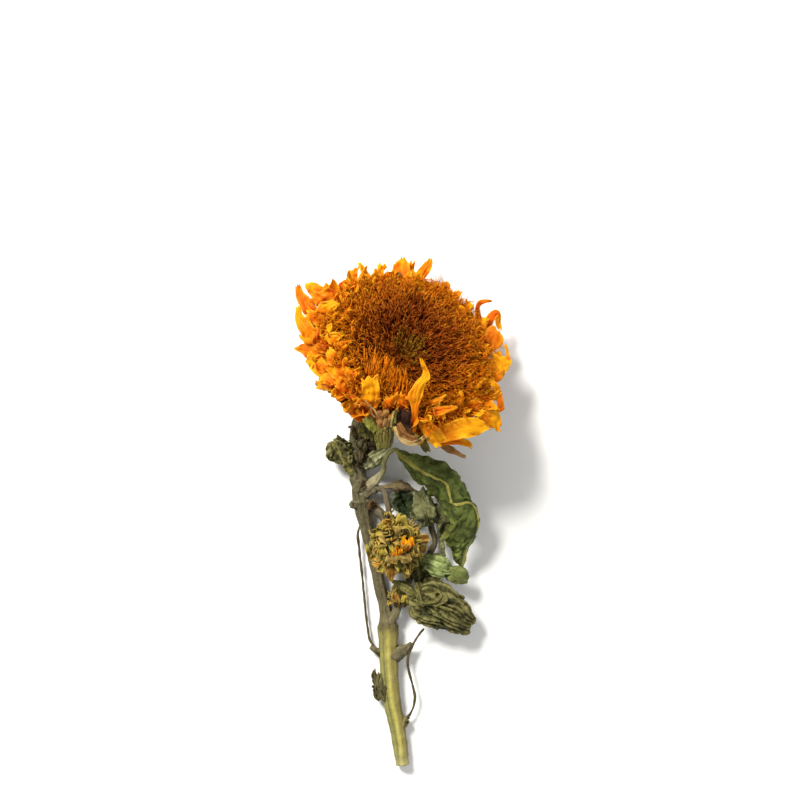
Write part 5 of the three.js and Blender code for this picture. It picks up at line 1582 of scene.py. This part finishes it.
# Dried scales on the stem
# Small brown and grey-green scales and shrunken buds in the angles of the stem, and a dark curled
# tangle of dead bracts beside the neck. They grow from the stem and only show as crumpled scraps now.
# Each dead bud: its foot, the way it points, its radius and length, its count of scales, their width
# and their shade.
SCALE_CLUSTERS = [
    ((-8.4, 29.4, 4.4), (-0.26, 1, 0.1), (2.8, 11.6), 26, (1.8, 3.4), 0.9),
    ((-0.6, 16.6, 3.8), (0.45, 1, 0.1), (1.6, 5.4), 9, (1.8, 3), 0.72),
    ((-9, 48.6, 4.6), (-0.8, 1, 0), (1.4, 5), 6, (1.6, 2.6), 0.75),
    ((-15, 116.4, 9), (0.2, 1, 0.4), (1.8, 4.6), 9, (1.8, 2.8), 0.3),
    ((-18.8, 126, 8.6), (0.2, 0.9, 0.5), (1.8, 4), 7, (1.8, 3), 0.34),
    ((-7.2, 108, 12), (0.1, 1, 0.5), (2, 8), 10, (2, 3.4), 0.62),
    ((-21, 117, 6), (-0.8, 0.6, 0.2), (1.4, 3.6), 6, (1.4, 2.4), 0.4),
    ((-2.4, 73, 8), (0.2, 1, 0.4), (1.6, 5), 7, (1.6, 2.8), 0.5),
]
SCRAP_STYLE = dict(
    rows=12, columns=6, wander=20, roll=2.2, pleat=0.5, grain=0.9, buckle=0.8, ruffle=0.5, ruffles=2,
    tip=0.25, teeth=0.05, crumple=1.4, thickness=0.3, root=0.8, tints=(0, 1),
)


def make_scrap_skin():
    skin, tree = new_material("scrap_skin")
    fibre = place_group(tree, fibres, "Fibre", count=5.0, stretch=2.0)
    patch = mottled(tree, 260.0, 0.2)
    kinds = ramp(tree, mark(tree, "shade"), [
        (0.0, "#1E1A0C"), (0.15, "#2E2814"), (0.3, "#4E361A"), (0.5, "#4A422E"), (0.75, "#4C4A2A"),
        (1.0, "#66643E"),
    ])
    colour = tinge(tree, kinds, "#5E4A26", patch, 0.4)
    # Painted shade: near black in the hollows of the creases. Painted highlight: pale brown on their
    # crests.
    colour = tinge(tree, colour, "#140E06", relief(tree, 0.0, -0.9), 0.7)
    colour = tinge(tree, colour, "#8C8058", relief(tree, 0.3, 1.1), 0.45)
    dry_surface(skin, colour, plus(tree, fibre, patch), 0.25, 0.75, patch)
    return skin


# The tangle beside the neck: places that its wiry leaf scraps start from, and how many start at each.
TANGLE_STARTS = [
    ((-20, 138.6, 8.4), 6), ((-18.4, 143.4, 10), 9), ((-16.2, 148.4, 12.2), 9), ((-14, 142, 8.8), 7),
    ((-18.6, 148.4, 10), 7), ((-18, 151.6, 10.2), 7), ((-16.4, 155.4, 10.4), 6),
]
TANGLE_SHADE = 0.1
TANGLE_STYLE = dict(SCRAP_STYLE, rows=18, columns=10, wander=40, roll=1.6, pleat=0.8, crumple=2.8)
TANGLE_SIZES = dict(
    length=(4, 7.5), width=(2.6, 5.4), curl=(-80, 80), bend=(-100, 100), twist=(-60, 60),
)
# The count of wiry threads in the tangle, and a thread's radius from its root to its tip.
TANGLE_THREADS = 60
THREAD_RADII = (0.2, 0.22, 0.22, 0.2, 0.18, 0.16, 0.14, 0.08)
THREAD_SIZES = dict(
    way=(0, 2 * math.pi), tilt=(0.8, 1.5), curl=(-1, 1.6), swerve=(-2.4, 2.4), length=(4, 9),
)
# The rise of a dead bud's scales in degrees, and their length as a share of the bud's.
DEAD_SCALE = dict(rise=(62, 86), length=(0.6, 1.05))


def add_dead_bud(growth, random, foot, axis, size, count, widths):
    """Scales that close over each other about an axis, with their tips a little ragged."""
    radius, tall = size
    put = bud_place(dict(centre=foot, axis=axis))
    for scale in range(count):
        share = scale / count
        heading = scale * GOLDEN_TURN
        start = on_ring(heading, radius * (0.35 + 0.55 * share), tall * 0.25 * (1 - share))
        spec = drawn(random, **DEAD_SCALE, width=widths, curl=(-10, 50), **SCALE_BENDS)
        spec.update(start=start, heading=heading, length=tall * spec["length"] * (1 - 0.35 * share))
        add_blade(growth, random, spec, SCRAP_STYLE, put)


def add_tangle(growth, random, start, count):
    for scrap in range(count):
        away = Vector((random(-0.3, 1), random(-1, 1), random(0, 0.5))).normalized()
        spec = dict(drawn(random, **TANGLE_SIZES), start=Vector(start) + away * 0.8)
        spec["heading"] = math.degrees(math.atan2(away.y, away.x))
        spec["rise"] = math.degrees(math.asin(away.z))
        add_blade(growth, random, spec, TANGLE_STYLE)


scraps = Growth()
scrap_random = random_stream(307)
scrap_shades = []
for foot, axis, size, count, widths, shade in SCALE_CLUSTERS:
    add_dead_bud(scraps, scrap_random, foot, axis, size, count, widths)
    scrap_shades += [shade] * (len(scraps.points) - len(scrap_shades))
for tangle_start, tangle_count in TANGLE_STARTS:
    add_tangle(scraps, scrap_random, tangle_start, tangle_count)
    scrap_shades += [TANGLE_SHADE] * (len(scraps.points) - len(scrap_shades))
threads = Growth()
for thread in range(TANGLE_THREADS):
    thread_start = route_point(TANGLE_ROUTES[thread % len(TANGLE_ROUTES)], scrap_random(0.3, 1))
    thread_steps = len(THREAD_RADII) - 1
    thread_path = bent_path(thread_start, steps=thread_steps, **drawn(scrap_random, **THREAD_SIZES))
    thread_marks = [(i / thread_steps, 0.5, scrap_random(0, 1), 0, 0) for i in range(thread_steps + 1)]
    add_thread(threads, thread_path, THREAD_RADII, thread_marks, Vector)
threads.piece("neck_threads", pale_skin)
scrap_piece = scraps.piece("stem_scraps", make_scrap_skin())
shade_layer = scrap_piece.data.attributes.new("shade", "FLOAT", "POINT")
shade_layer.data.foreach_set("value", scrap_shades)

# Leaves
# Thin leaves that dried folded, rolled and puckered between their veins, with ruffled margins and a
# yellow-green midrib. Each hangs from its own stalk on the stem or the side shoot.
# Each row of a leaf is one margin, the midrib and the other margin: the pixel of each in the
# photograph, and its height in millimetres.
LEAF_ROWS = {
    "leaf_long": [
        ((397.5, 449, 19.5), (396.6, 450.5, 19.6), (396, 452, 19.5)),
        ((402, 450, 20.5), (402, 455, 21), (399.5, 457, 20.5)),
        ((415, 453.5, 21), (411.8, 464, 23), (407.5, 470, 21)),
        ((431, 457.5, 22.5), (423.4, 472.6, 24.4), (416, 480, 18)),
        ((443, 462, 23.5), (433.2, 477.5, 25.4), (425, 484, 15)),
        ((456, 473, 22), (445.2, 483.4, 26), (431, 493, 12.4)),
        ((465, 485, 20.5), (449.3, 494.5, 25.4), (440, 502, 12.4)),
        ((468, 493, 17.5), (452.4, 502.6, 24.4), (446, 510, 15)),
        ((468, 498, 14), (461, 504.2, 23.4), (449, 523, 18)),
        ((465, 505, 13), (469.6, 502.4, 22.4), (446, 531, 17)),
        ((466, 514, 12.5), (475.6, 508, 21), (444, 537, 15.6)),
        ((467, 525, 11.5), (478.6, 520, 18.8), (447.5, 544, 14.6)),
        ((465, 535, 10), (477, 532, 16), (452, 549, 12.5)),
        ((462, 543, 8), (469.8, 542.6, 13.4), (453, 555, 10)),
        ((460, 551, 6.8), (464.6, 551.6, 10.4), (454, 561, 8)),
        ((462, 566, 6.2), (462.6, 567, 6.4), (461.6, 567.4, 6)),
    ],
    "leaf_pleated": [
        ((413, 595, 12), (412, 598.5, 12.4), (411, 602, 11.6)),
        ((419, 586, 12.6), (417, 600, 15), (409, 608, 12)),
        ((432, 577, 12.6), (427, 603, 17), (411, 617.5, 12.4)),
        ((445, 583, 14), (437, 606, 18), (424, 624, 13)),
        ((457, 592, 14), (447, 611, 18), (438, 629, 13)),
        ((464.5, 598, 12), (456, 617, 16.6), (450, 631.5, 11.6)),
        ((470, 608, 9.6), (463, 623, 12.6), (460, 633, 9)),
        ((472.5, 617.5, 7.4), (469, 625, 8.4), (465.6, 632, 7.4)),
    ],
    "leaf_curl_upper": [
        ((416, 555.5, 7.6), (415.6, 558, 7.4), (416, 561, 7)),
        ((422, 554.5, 9.6), (421, 559, 10.4), (422, 563.5, 9)),
        ((429, 556, 11), (428, 561, 13), (428, 568, 11)),
        ((438, 554.5, 11.4), (433, 563, 15.6), (430.5, 575, 12)),
        ((446, 557, 11.4), (440, 565, 16.2), (438.5, 577, 12)),
        ((449, 565, 10), (446, 568, 13.6), (446, 575, 10.6)),
        ((448, 570, 6.6), (448, 571, 7.4), (447.5, 573, 6.6)),
    ],
    "leaf_curl_lower": [
        ((441, 571, 6.6), (441, 573, 6.6), (441.5, 575, 6.2)),
        ((447, 567.6, 9.6), (446.4, 572, 11.4), (447, 577.5, 9)),
        ((454.4, 565, 11), (453.6, 573, 14.2), (451, 581.6, 10.6)),
        ((461, 567.6, 11.4), (460, 574.6, 14.2), (457.6, 583, 11)),
        ((465.4, 573, 10.4), (464.4, 577.6, 12.2), (463, 583, 10.4)),
        ((466.6, 579, 8), (466.2, 580.4, 8.2), (465.8, 582, 8)),
    ],
    "leaf_knot": [
        ((424, 490, 7), (420, 491, 8), (415, 494.5, 7.4)),
        ((430, 496, 10.6), (420.6, 499, 13), (414.4, 501, 10.6)),
        ((434, 503.5, 12), (424, 507, 15.6), (415, 508.5, 12)),
        ((434.6, 512, 11.4), (427, 514, 14.6), (419, 515.5, 11.4)),
        ((431.5, 521, 8.4), (428.6, 521.6, 10), (425.4, 522.4, 8.4)),
        ((431.4, 524.4, 6.6), (430.6, 524.8, 7), (429.8, 525.2, 6.6)),
    ],
    "leaf_knot_lobe": [
        ((436, 503.5, 7.6), (432.6, 505.6, 8.6), (430.4, 509, 8)),
        ((444, 508, 9), (438.6, 512, 11.6), (432, 517, 9.6)),
        ((449.6, 517, 9), (443.6, 519.6, 11.4), (436.4, 525, 9.6)),
        ((449, 526, 7.6), (444, 528, 9), (438, 531, 8)),
        ((444.6, 534, 7), (441.6, 535, 7.8), (438, 537, 7)),
        ((443.6, 545, 6.6), (441.4, 545.4, 7.2), (439, 546, 6.6)),
        ((445.6, 556, 6), (444.6, 556.4, 6.2), (443.4, 556.4, 6)),
    ],
    "leaf_shaded": [
        ((427, 523, 6.8), (427.6, 522.2, 6.8), (428, 521.4, 6.8)),
        ((418, 520.4, 7.8), (418.6, 519.4, 8), (419, 518.4, 7.8)),
        ((410, 518.6, 9), (411.6, 518, 8), (413, 516, 9)),
        ((402.4, 517, 10.6), (408.4, 510.4, 5.6), (415.6, 508, 9.8)),
        ((394.6, 508.6, 11), (404.6, 503.6, 5), (414.4, 499, 10)),
        ((392.8, 500.4, 10.4), (400.4, 497, 5.6), (408, 492.6, 9.4)),
        ((394.6, 492.4, 8), (397.2, 490.8, 7.6), (399.4, 489.6, 8)),
    ],
    "leaf_brown": [
        ((377, 486, 8.6), (377, 487, 8.6), (377, 488, 8.4)),
        ((388, 484.6, 9), (388, 486.6, 9.4), (388.4, 488.6, 8.8)),
        ((396.6, 480.6, 9.6), (396.6, 485, 11), (396, 489.8, 9)),
        ((406, 482.6, 9.6), (405.4, 486.6, 10.8), (405, 491.6, 9)),
        ((415, 490.4, 8), (415.2, 491, 8), (414.8, 491.6, 8)),
    ],
    "leaf_neck_right": [
        ((364.6, 466.6, 8.4), (365, 468, 8.4), (366, 469.4, 8)),
        ((366.6, 458.6, 11.6), (370.4, 463, 13.4), (375.6, 467.8, 11.4)),
        ((371.6, 452.4, 13.2), (376.6, 457.6, 15), (382.6, 462.4, 12.8)),
        ((380.4, 448.6, 13.6), (383.6, 452, 14.6), (387, 455, 13)),
        ((389.4, 446.4, 12.6), (389.8, 447, 12.6), (390.4, 447.8, 12.4)),
    ],
    "leaf_neck_left": [
        ((353, 478.4, 7), (354, 477, 7.4), (354.6, 475.6, 7.4)),
        ((343, 468, 8.8), (347, 465.4, 9), (350, 461, 9.6)),
        ((332, 462, 9.6), (341, 457, 9.4), (350, 449, 10.6)),
        ((327, 453, 8.8), (335.6, 447, 9), (347, 440.6, 9.6)),
        ((329, 446, 7), (333.6, 442, 7.4), (340, 437, 7.6)),
    ],
    "leaf_ribbon": [
        ((392.8, 580.8, 8), (392.4, 581.6, 8.2), (392, 582.4, 8)),
        ((399.4, 581, 10.4), (398.6, 584, 11.6), (397.4, 587, 10.4)),
        ((406.4, 582.4, 12.4), (405, 587, 14), (403.4, 591, 12.4)),
        ((412, 585.6, 14), (410.6, 591, 15.6), (409, 596.6, 14)),
        ((417, 592, 14), (416, 596, 15), (414.6, 601, 14)),
    ],
    "leaf_dark_fold": [
        ((428, 560, 7.6), (421, 561, 8), (414, 563, 7.6)),
        ((430, 569, 9.5), (421, 570, 8.5), (413, 571, 9)),
        ((430, 578, 10.5), (423, 580, 9.5), (416, 583, 10.5)),
        ((425, 589, 12.4), (421, 589, 12), (417, 590, 12)),
    ],
    "leaf_pleat_crest": [
        ((414, 581, 13), (416.4, 581.4, 14), (419, 582, 12)),
        ((415.6, 586, 18), (418.6, 586.6, 18.6), (423, 587, 14.4)),
        ((416.6, 597, 19.6), (420, 595.6, 20), (425, 593.6, 15)),
        ((421.4, 607, 19.6), (423, 603, 20.6), (427, 598.6, 15.6)),
        ((430, 607, 19.6), (430, 603, 21), (430, 597.6, 15.6)),
        ((440, 604.6, 19.4), (437.6, 601, 20.6), (434, 596.6, 15.6)),
        ((444.6, 596.6, 18.6), (441, 596.4, 20), (436.6, 595.4, 15)),
        ((440.6, 590.4, 17.6), (438.8, 592.6, 18.6), (435.4, 594.6, 15)),
        ((432.6, 592.6, 16), (433, 594, 16.4), (433.4, 595.4, 14.8)),
    ],
}
# How each leaf dried, in the order of these names: its rows and columns of points, how far it puffs up,
# its ruffles and pleats with their counts, how crumpled it is and how far it is drawn aside.
LEAF_LOOK = ("rows", "columns", "crown", "ruffle", "ruffles", "pleat", "pleats", "crumple", "shift")
LEAF_LOOKS = {
    "leaf_long": (170, 56, 2.4, 1.0, 7, 0.6, 4, 1.0, 1),
    "leaf_pleated": (90, 100, 1.0, 0.5, 3, 1.7, 9, 0.7, 0.9),
    "leaf_ribbon": (50, 36, 0.4, 0.5, 3, 0.8, 3, 0.7, 0.7),
    "leaf_curl_upper": (64, 70, 2.0, 0.4, 4, 0.5, 6, 0.7, 0.6),
    "leaf_curl_lower": (60, 40, 1.8, 0.4, 3, 0.2, 4, 0.9, 0.8),
    "leaf_knot": (70, 54, 2.4, 1.4, 4, 1.2, 3, 2.6, 3),
    "leaf_knot_lobe": (70, 30, 1.0, 0.9, 5, 0.4, 2, 1.4, 1.4),
    "leaf_shaded": (60, 36, 0.8, 0.8, 5, 0, 0, 1.5, 1),
    "leaf_brown": (50, 24, 0.8, 0.6, 4, 0.3, 2, 1.2, 1),
    "leaf_neck_right": (50, 40, 0.8, 0.4, 3, 0.9, 3, 0.7, 0.8),
    "leaf_neck_left": (70, 60, 0.3, 1.6, 9, 1.1, 5, 2.0, 2.6),
    "leaf_dark_fold": (50, 36, 1.2, 0.8, 4, 0.9, 2, 2.2, 2),
    "leaf_pleat_crest": (80, 24, 0.5, 0.4, 4, 0.4, 3, 1.2, 1),
}
# The leaf that each node of the model stands for, with what else belongs to it, and its skin.
LEAF_PIECES = {
    "leaf_long": (["leaf_long"], "green"),
    "leaf_pleated": (["leaf_pleated", "leaf_pleat_crest", "leaf_dark_fold", "leaf_ribbon"], "olive"),
    "leaf_curl_upper": (["leaf_curl_upper"], "pale"),
    "leaf_curl_lower": (["leaf_curl_lower"], "moss"),
    "leaf_knot": (["leaf_knot", "leaf_knot_lobe"], "grey"),
    "leaf_shaded": (["leaf_shaded"], "dark"),
    "leaf_brown": (["leaf_brown"], "brown"),
    "leaf_neck_right": (["leaf_neck_right"], "striped"),
    "leaf_neck_left": (["leaf_neck_left"], "olive"),
}
# Deep tissue and painted shade of hollows, lit tissue, painted highlight of raised creases, ribs and
# stains of each leaf colour.
LEAF_COLOURS = {
    "green": ("#0C1205", "#42521F", "#7C8840", "#B0A650", "#5A5A22"),
    "moss": ("#1C240C", "#525C2A", "#8A9454", "#667038", "#6A6A34"),
    "olive": ("#060401", "#2C2A12", "#8E8650", "#746E36", "#3C441C"),
    "pale": ("#34401A", "#68783A", "#AAB474", "#A2AE6C", "#6E7C3C"),
    "grey": ("#1A180A", "#464526", "#8A895C", "#807E50", "#424A26"),
    "dark": ("#0B1006", "#1C2610", "#46522E", "#7C8258", "#22301A"),
    "brown": ("#18120A", "#3A2E1C", "#685A3C", "#7C6C4A", "#4A4430"),
    "striped": ("#1C1A0A", "#525228", "#9E9E70", "#B8B686", "#5E5A30"),
}
# Millimetres between one side vein and the next, and through the sheet of the leaf.
VEIN_GAP = 5.0
LEAF_THICKNESS = 0.4
# The share of a leaf's half width that rolls down at its margin.
MARGIN = 0.16


def leaf_grid(rows, look):
    """A leaf through its rows, puffed up beside its midrib, then pleated, ruffled and crumpled."""
    steps, columns = look["rows"], look["columns"]
    v = np.linspace(-1, 1, columns + 1)
    routes = [[photo_place(*row[i]) for row in rows] for i in range(3)]
    rails = [np.array([route_point(route, r / steps) for r in range(steps + 1)]) for route in routes]
    grid = np.zeros((steps + 1, columns + 1, 3))
    for c in range(columns + 1):
        rail = rails[0] if v[c] < 0 else rails[2]
        grid[:, c] = rails[1] + (rail - rails[1]) * abs(v[c])
    halves = [np.linalg.norm(rails[i] - rails[1], axis=1) for i in (0, 2)]
    out = sheet_normals(grid)
    run = np.concatenate([[0], np.cumsum(np.linalg.norm(np.diff(rails[1], axis=0), axis=1))])
    marks = []
    finished = grid.copy()
    for r in range(steps + 1):
        for c in range(columns + 1):
            t = abs(v[c])
            half = halves[0][r] if v[c] < 0 else halves[1][r]
            full = min((halves[0][r] + halves[1][r]) / 6, 1)
            place = Vector(grid[r, c])
            vein = run[r] / VEIN_GAP - t * half * 0.13
            pucker = abs(math.sin(math.pi * vein)) ** 0.6 * min(t * 3, 1)
            coarse, mid = crease_at(place * 0.15), crease_at(place * 0.4 + Vector((7, 3, 1)))
            fine = noise.noise(place * 1.2)
            wander = noise.noise(place * 0.12) * 2
            slip = 0.3 * noise.noise(Vector((v[c] * 2.4, run[r] * 0.1, 4)))
            turn = look["pleats"] * (v[c] + slip) / 2
            lines = 1 - 3 * abs(turn % 1 - 0.5) - abs((3 * turn + wander) % 1 - 0.5)
            lines = lines if look["pleats"] else 0
            swing = 2 * math.pi * look["ruffles"] * run[r] / run[-1]
            waves = math.sin(swing + 2.2 * wander + (v[c] > 0))
            height = look["crown"] * math.sin(math.pi * t) * 0.8
            height += look["crumple"] * (0.5 * coarse + 0.5 * mid + 0.2 * fine) * (0.4 + 0.6 * t)
            height += 0.6 * (pucker - 0.5) + 0.6 * math.exp(-((t * half / 0.5) ** 2))
            height += look["pleat"] * lines * (0.4 + 0.6 * min(2 * r / steps, 1))
            height += look["ruffle"] * t ** 3 * waves
            rolled = max(t - (1 - MARGIN), 0) / MARGIN
            height -= 0.8 * rolled ** 2
            side = np.array(noise.noise_vector(place * 0.28)) * look["shift"] * (0.2 + 0.8 * t)
            side += np.array(noise.noise_vector(place * 0.75)) * 0.3 * look["shift"] * (0.2 + 0.8 * t)
            finished[r, c] = grid[r, c] + out[r, c] * height * full + side * full
            ridge = 0.5 * coarse + 0.4 * mid + 0.3 * fine + 0.4 * (pucker - 0.5)
            ridge += 0.8 * lines * min(look["pleat"], 1)
            marks.append((vein, float(v[c]), half, ridge))
    return finished, marks


def make_leaf_skin(name, deep, lit, raised, rib, stain):
    skin, tree = new_material("leaf_" + name)
    across, half = mark(tree, "across"), mark(tree, "tint")
    patch = mottled(tree, 110.0, 0.18)
    fine = mottled(tree, 700.0, 0.25)
    crease = place_group(tree, crinkle, "Crease", scale=620.0, width=0.1)
    reach = times(tree, size_of(tree, across), half)
    vein = size_of(tree, minus(tree, sum_of(tree, "FRACT", mark(tree, "along")), 0.5))
    near_vein = spread(tree, vein, 0.455, 0.495)
    near_rib = spread(tree, reach, 0.8, 0.4)
    margin = spread(tree, minus(tree, half, reach), 0.5, 0.15)
    crest = relief(tree, 0.25, 1.1)
    hollow = relief(tree, 0.25, -0.7)
    colour = tinge(tree, lit, stain, mottled(tree, 44.0, 0.15), 0.7)
    colour = blend_colours(tree, spread(tree, mark(tree, "along"), 8.2, 10.6, 0.0, 0.5), colour, deep)
    colour = tinge(tree, colour, deep, patch, 0.5)
    # Painted highlight on the crests, and painted shade in the hollows of the creases and pleats.
    colour = tinge(tree, colour, raised, crest, 0.7)
    colour = tinge(tree, colour, deep, hollow, 0.85)
    colour = tinge(tree, colour, raised, fine, 0.2)
    colour = tinge(tree, colour, raised, crease, 0.22)
    colour = tinge(tree, colour, rib, near_vein, 0.35)
    colour = tinge(tree, colour, rib, margin, 0.4)
    colour = tinge(tree, colour, rib, near_rib, 0.85)
    colour = tinge(tree, colour, raised, mark(tree, "under"), 0.3)
    height = plus(tree, plus(tree, fine, near_vein), crease)
    dry_surface(skin, colour, height, 0.22, 0.66, patch)
    return skin


leaf_skins = {}
for node_name, (leaf_names, skin_name) in LEAF_PIECES.items():
    if skin_name not in leaf_skins:
        leaf_skins[skin_name] = make_leaf_skin(skin_name, *LEAF_COLOURS[skin_name])
    leaf = Growth()
    for leaf_name in leaf_names:
        leaf_look = dict(zip(LEAF_LOOK, LEAF_LOOKS[leaf_name]))
        leaf_points, leaf_marks = leaf_grid(LEAF_ROWS[leaf_name], leaf_look)
        add_sheet(leaf, leaf_points, LEAF_THICKNESS, leaf_marks)
    leaf.piece(node_name + "_blade", leaf_skins[skin_name], [node_name])
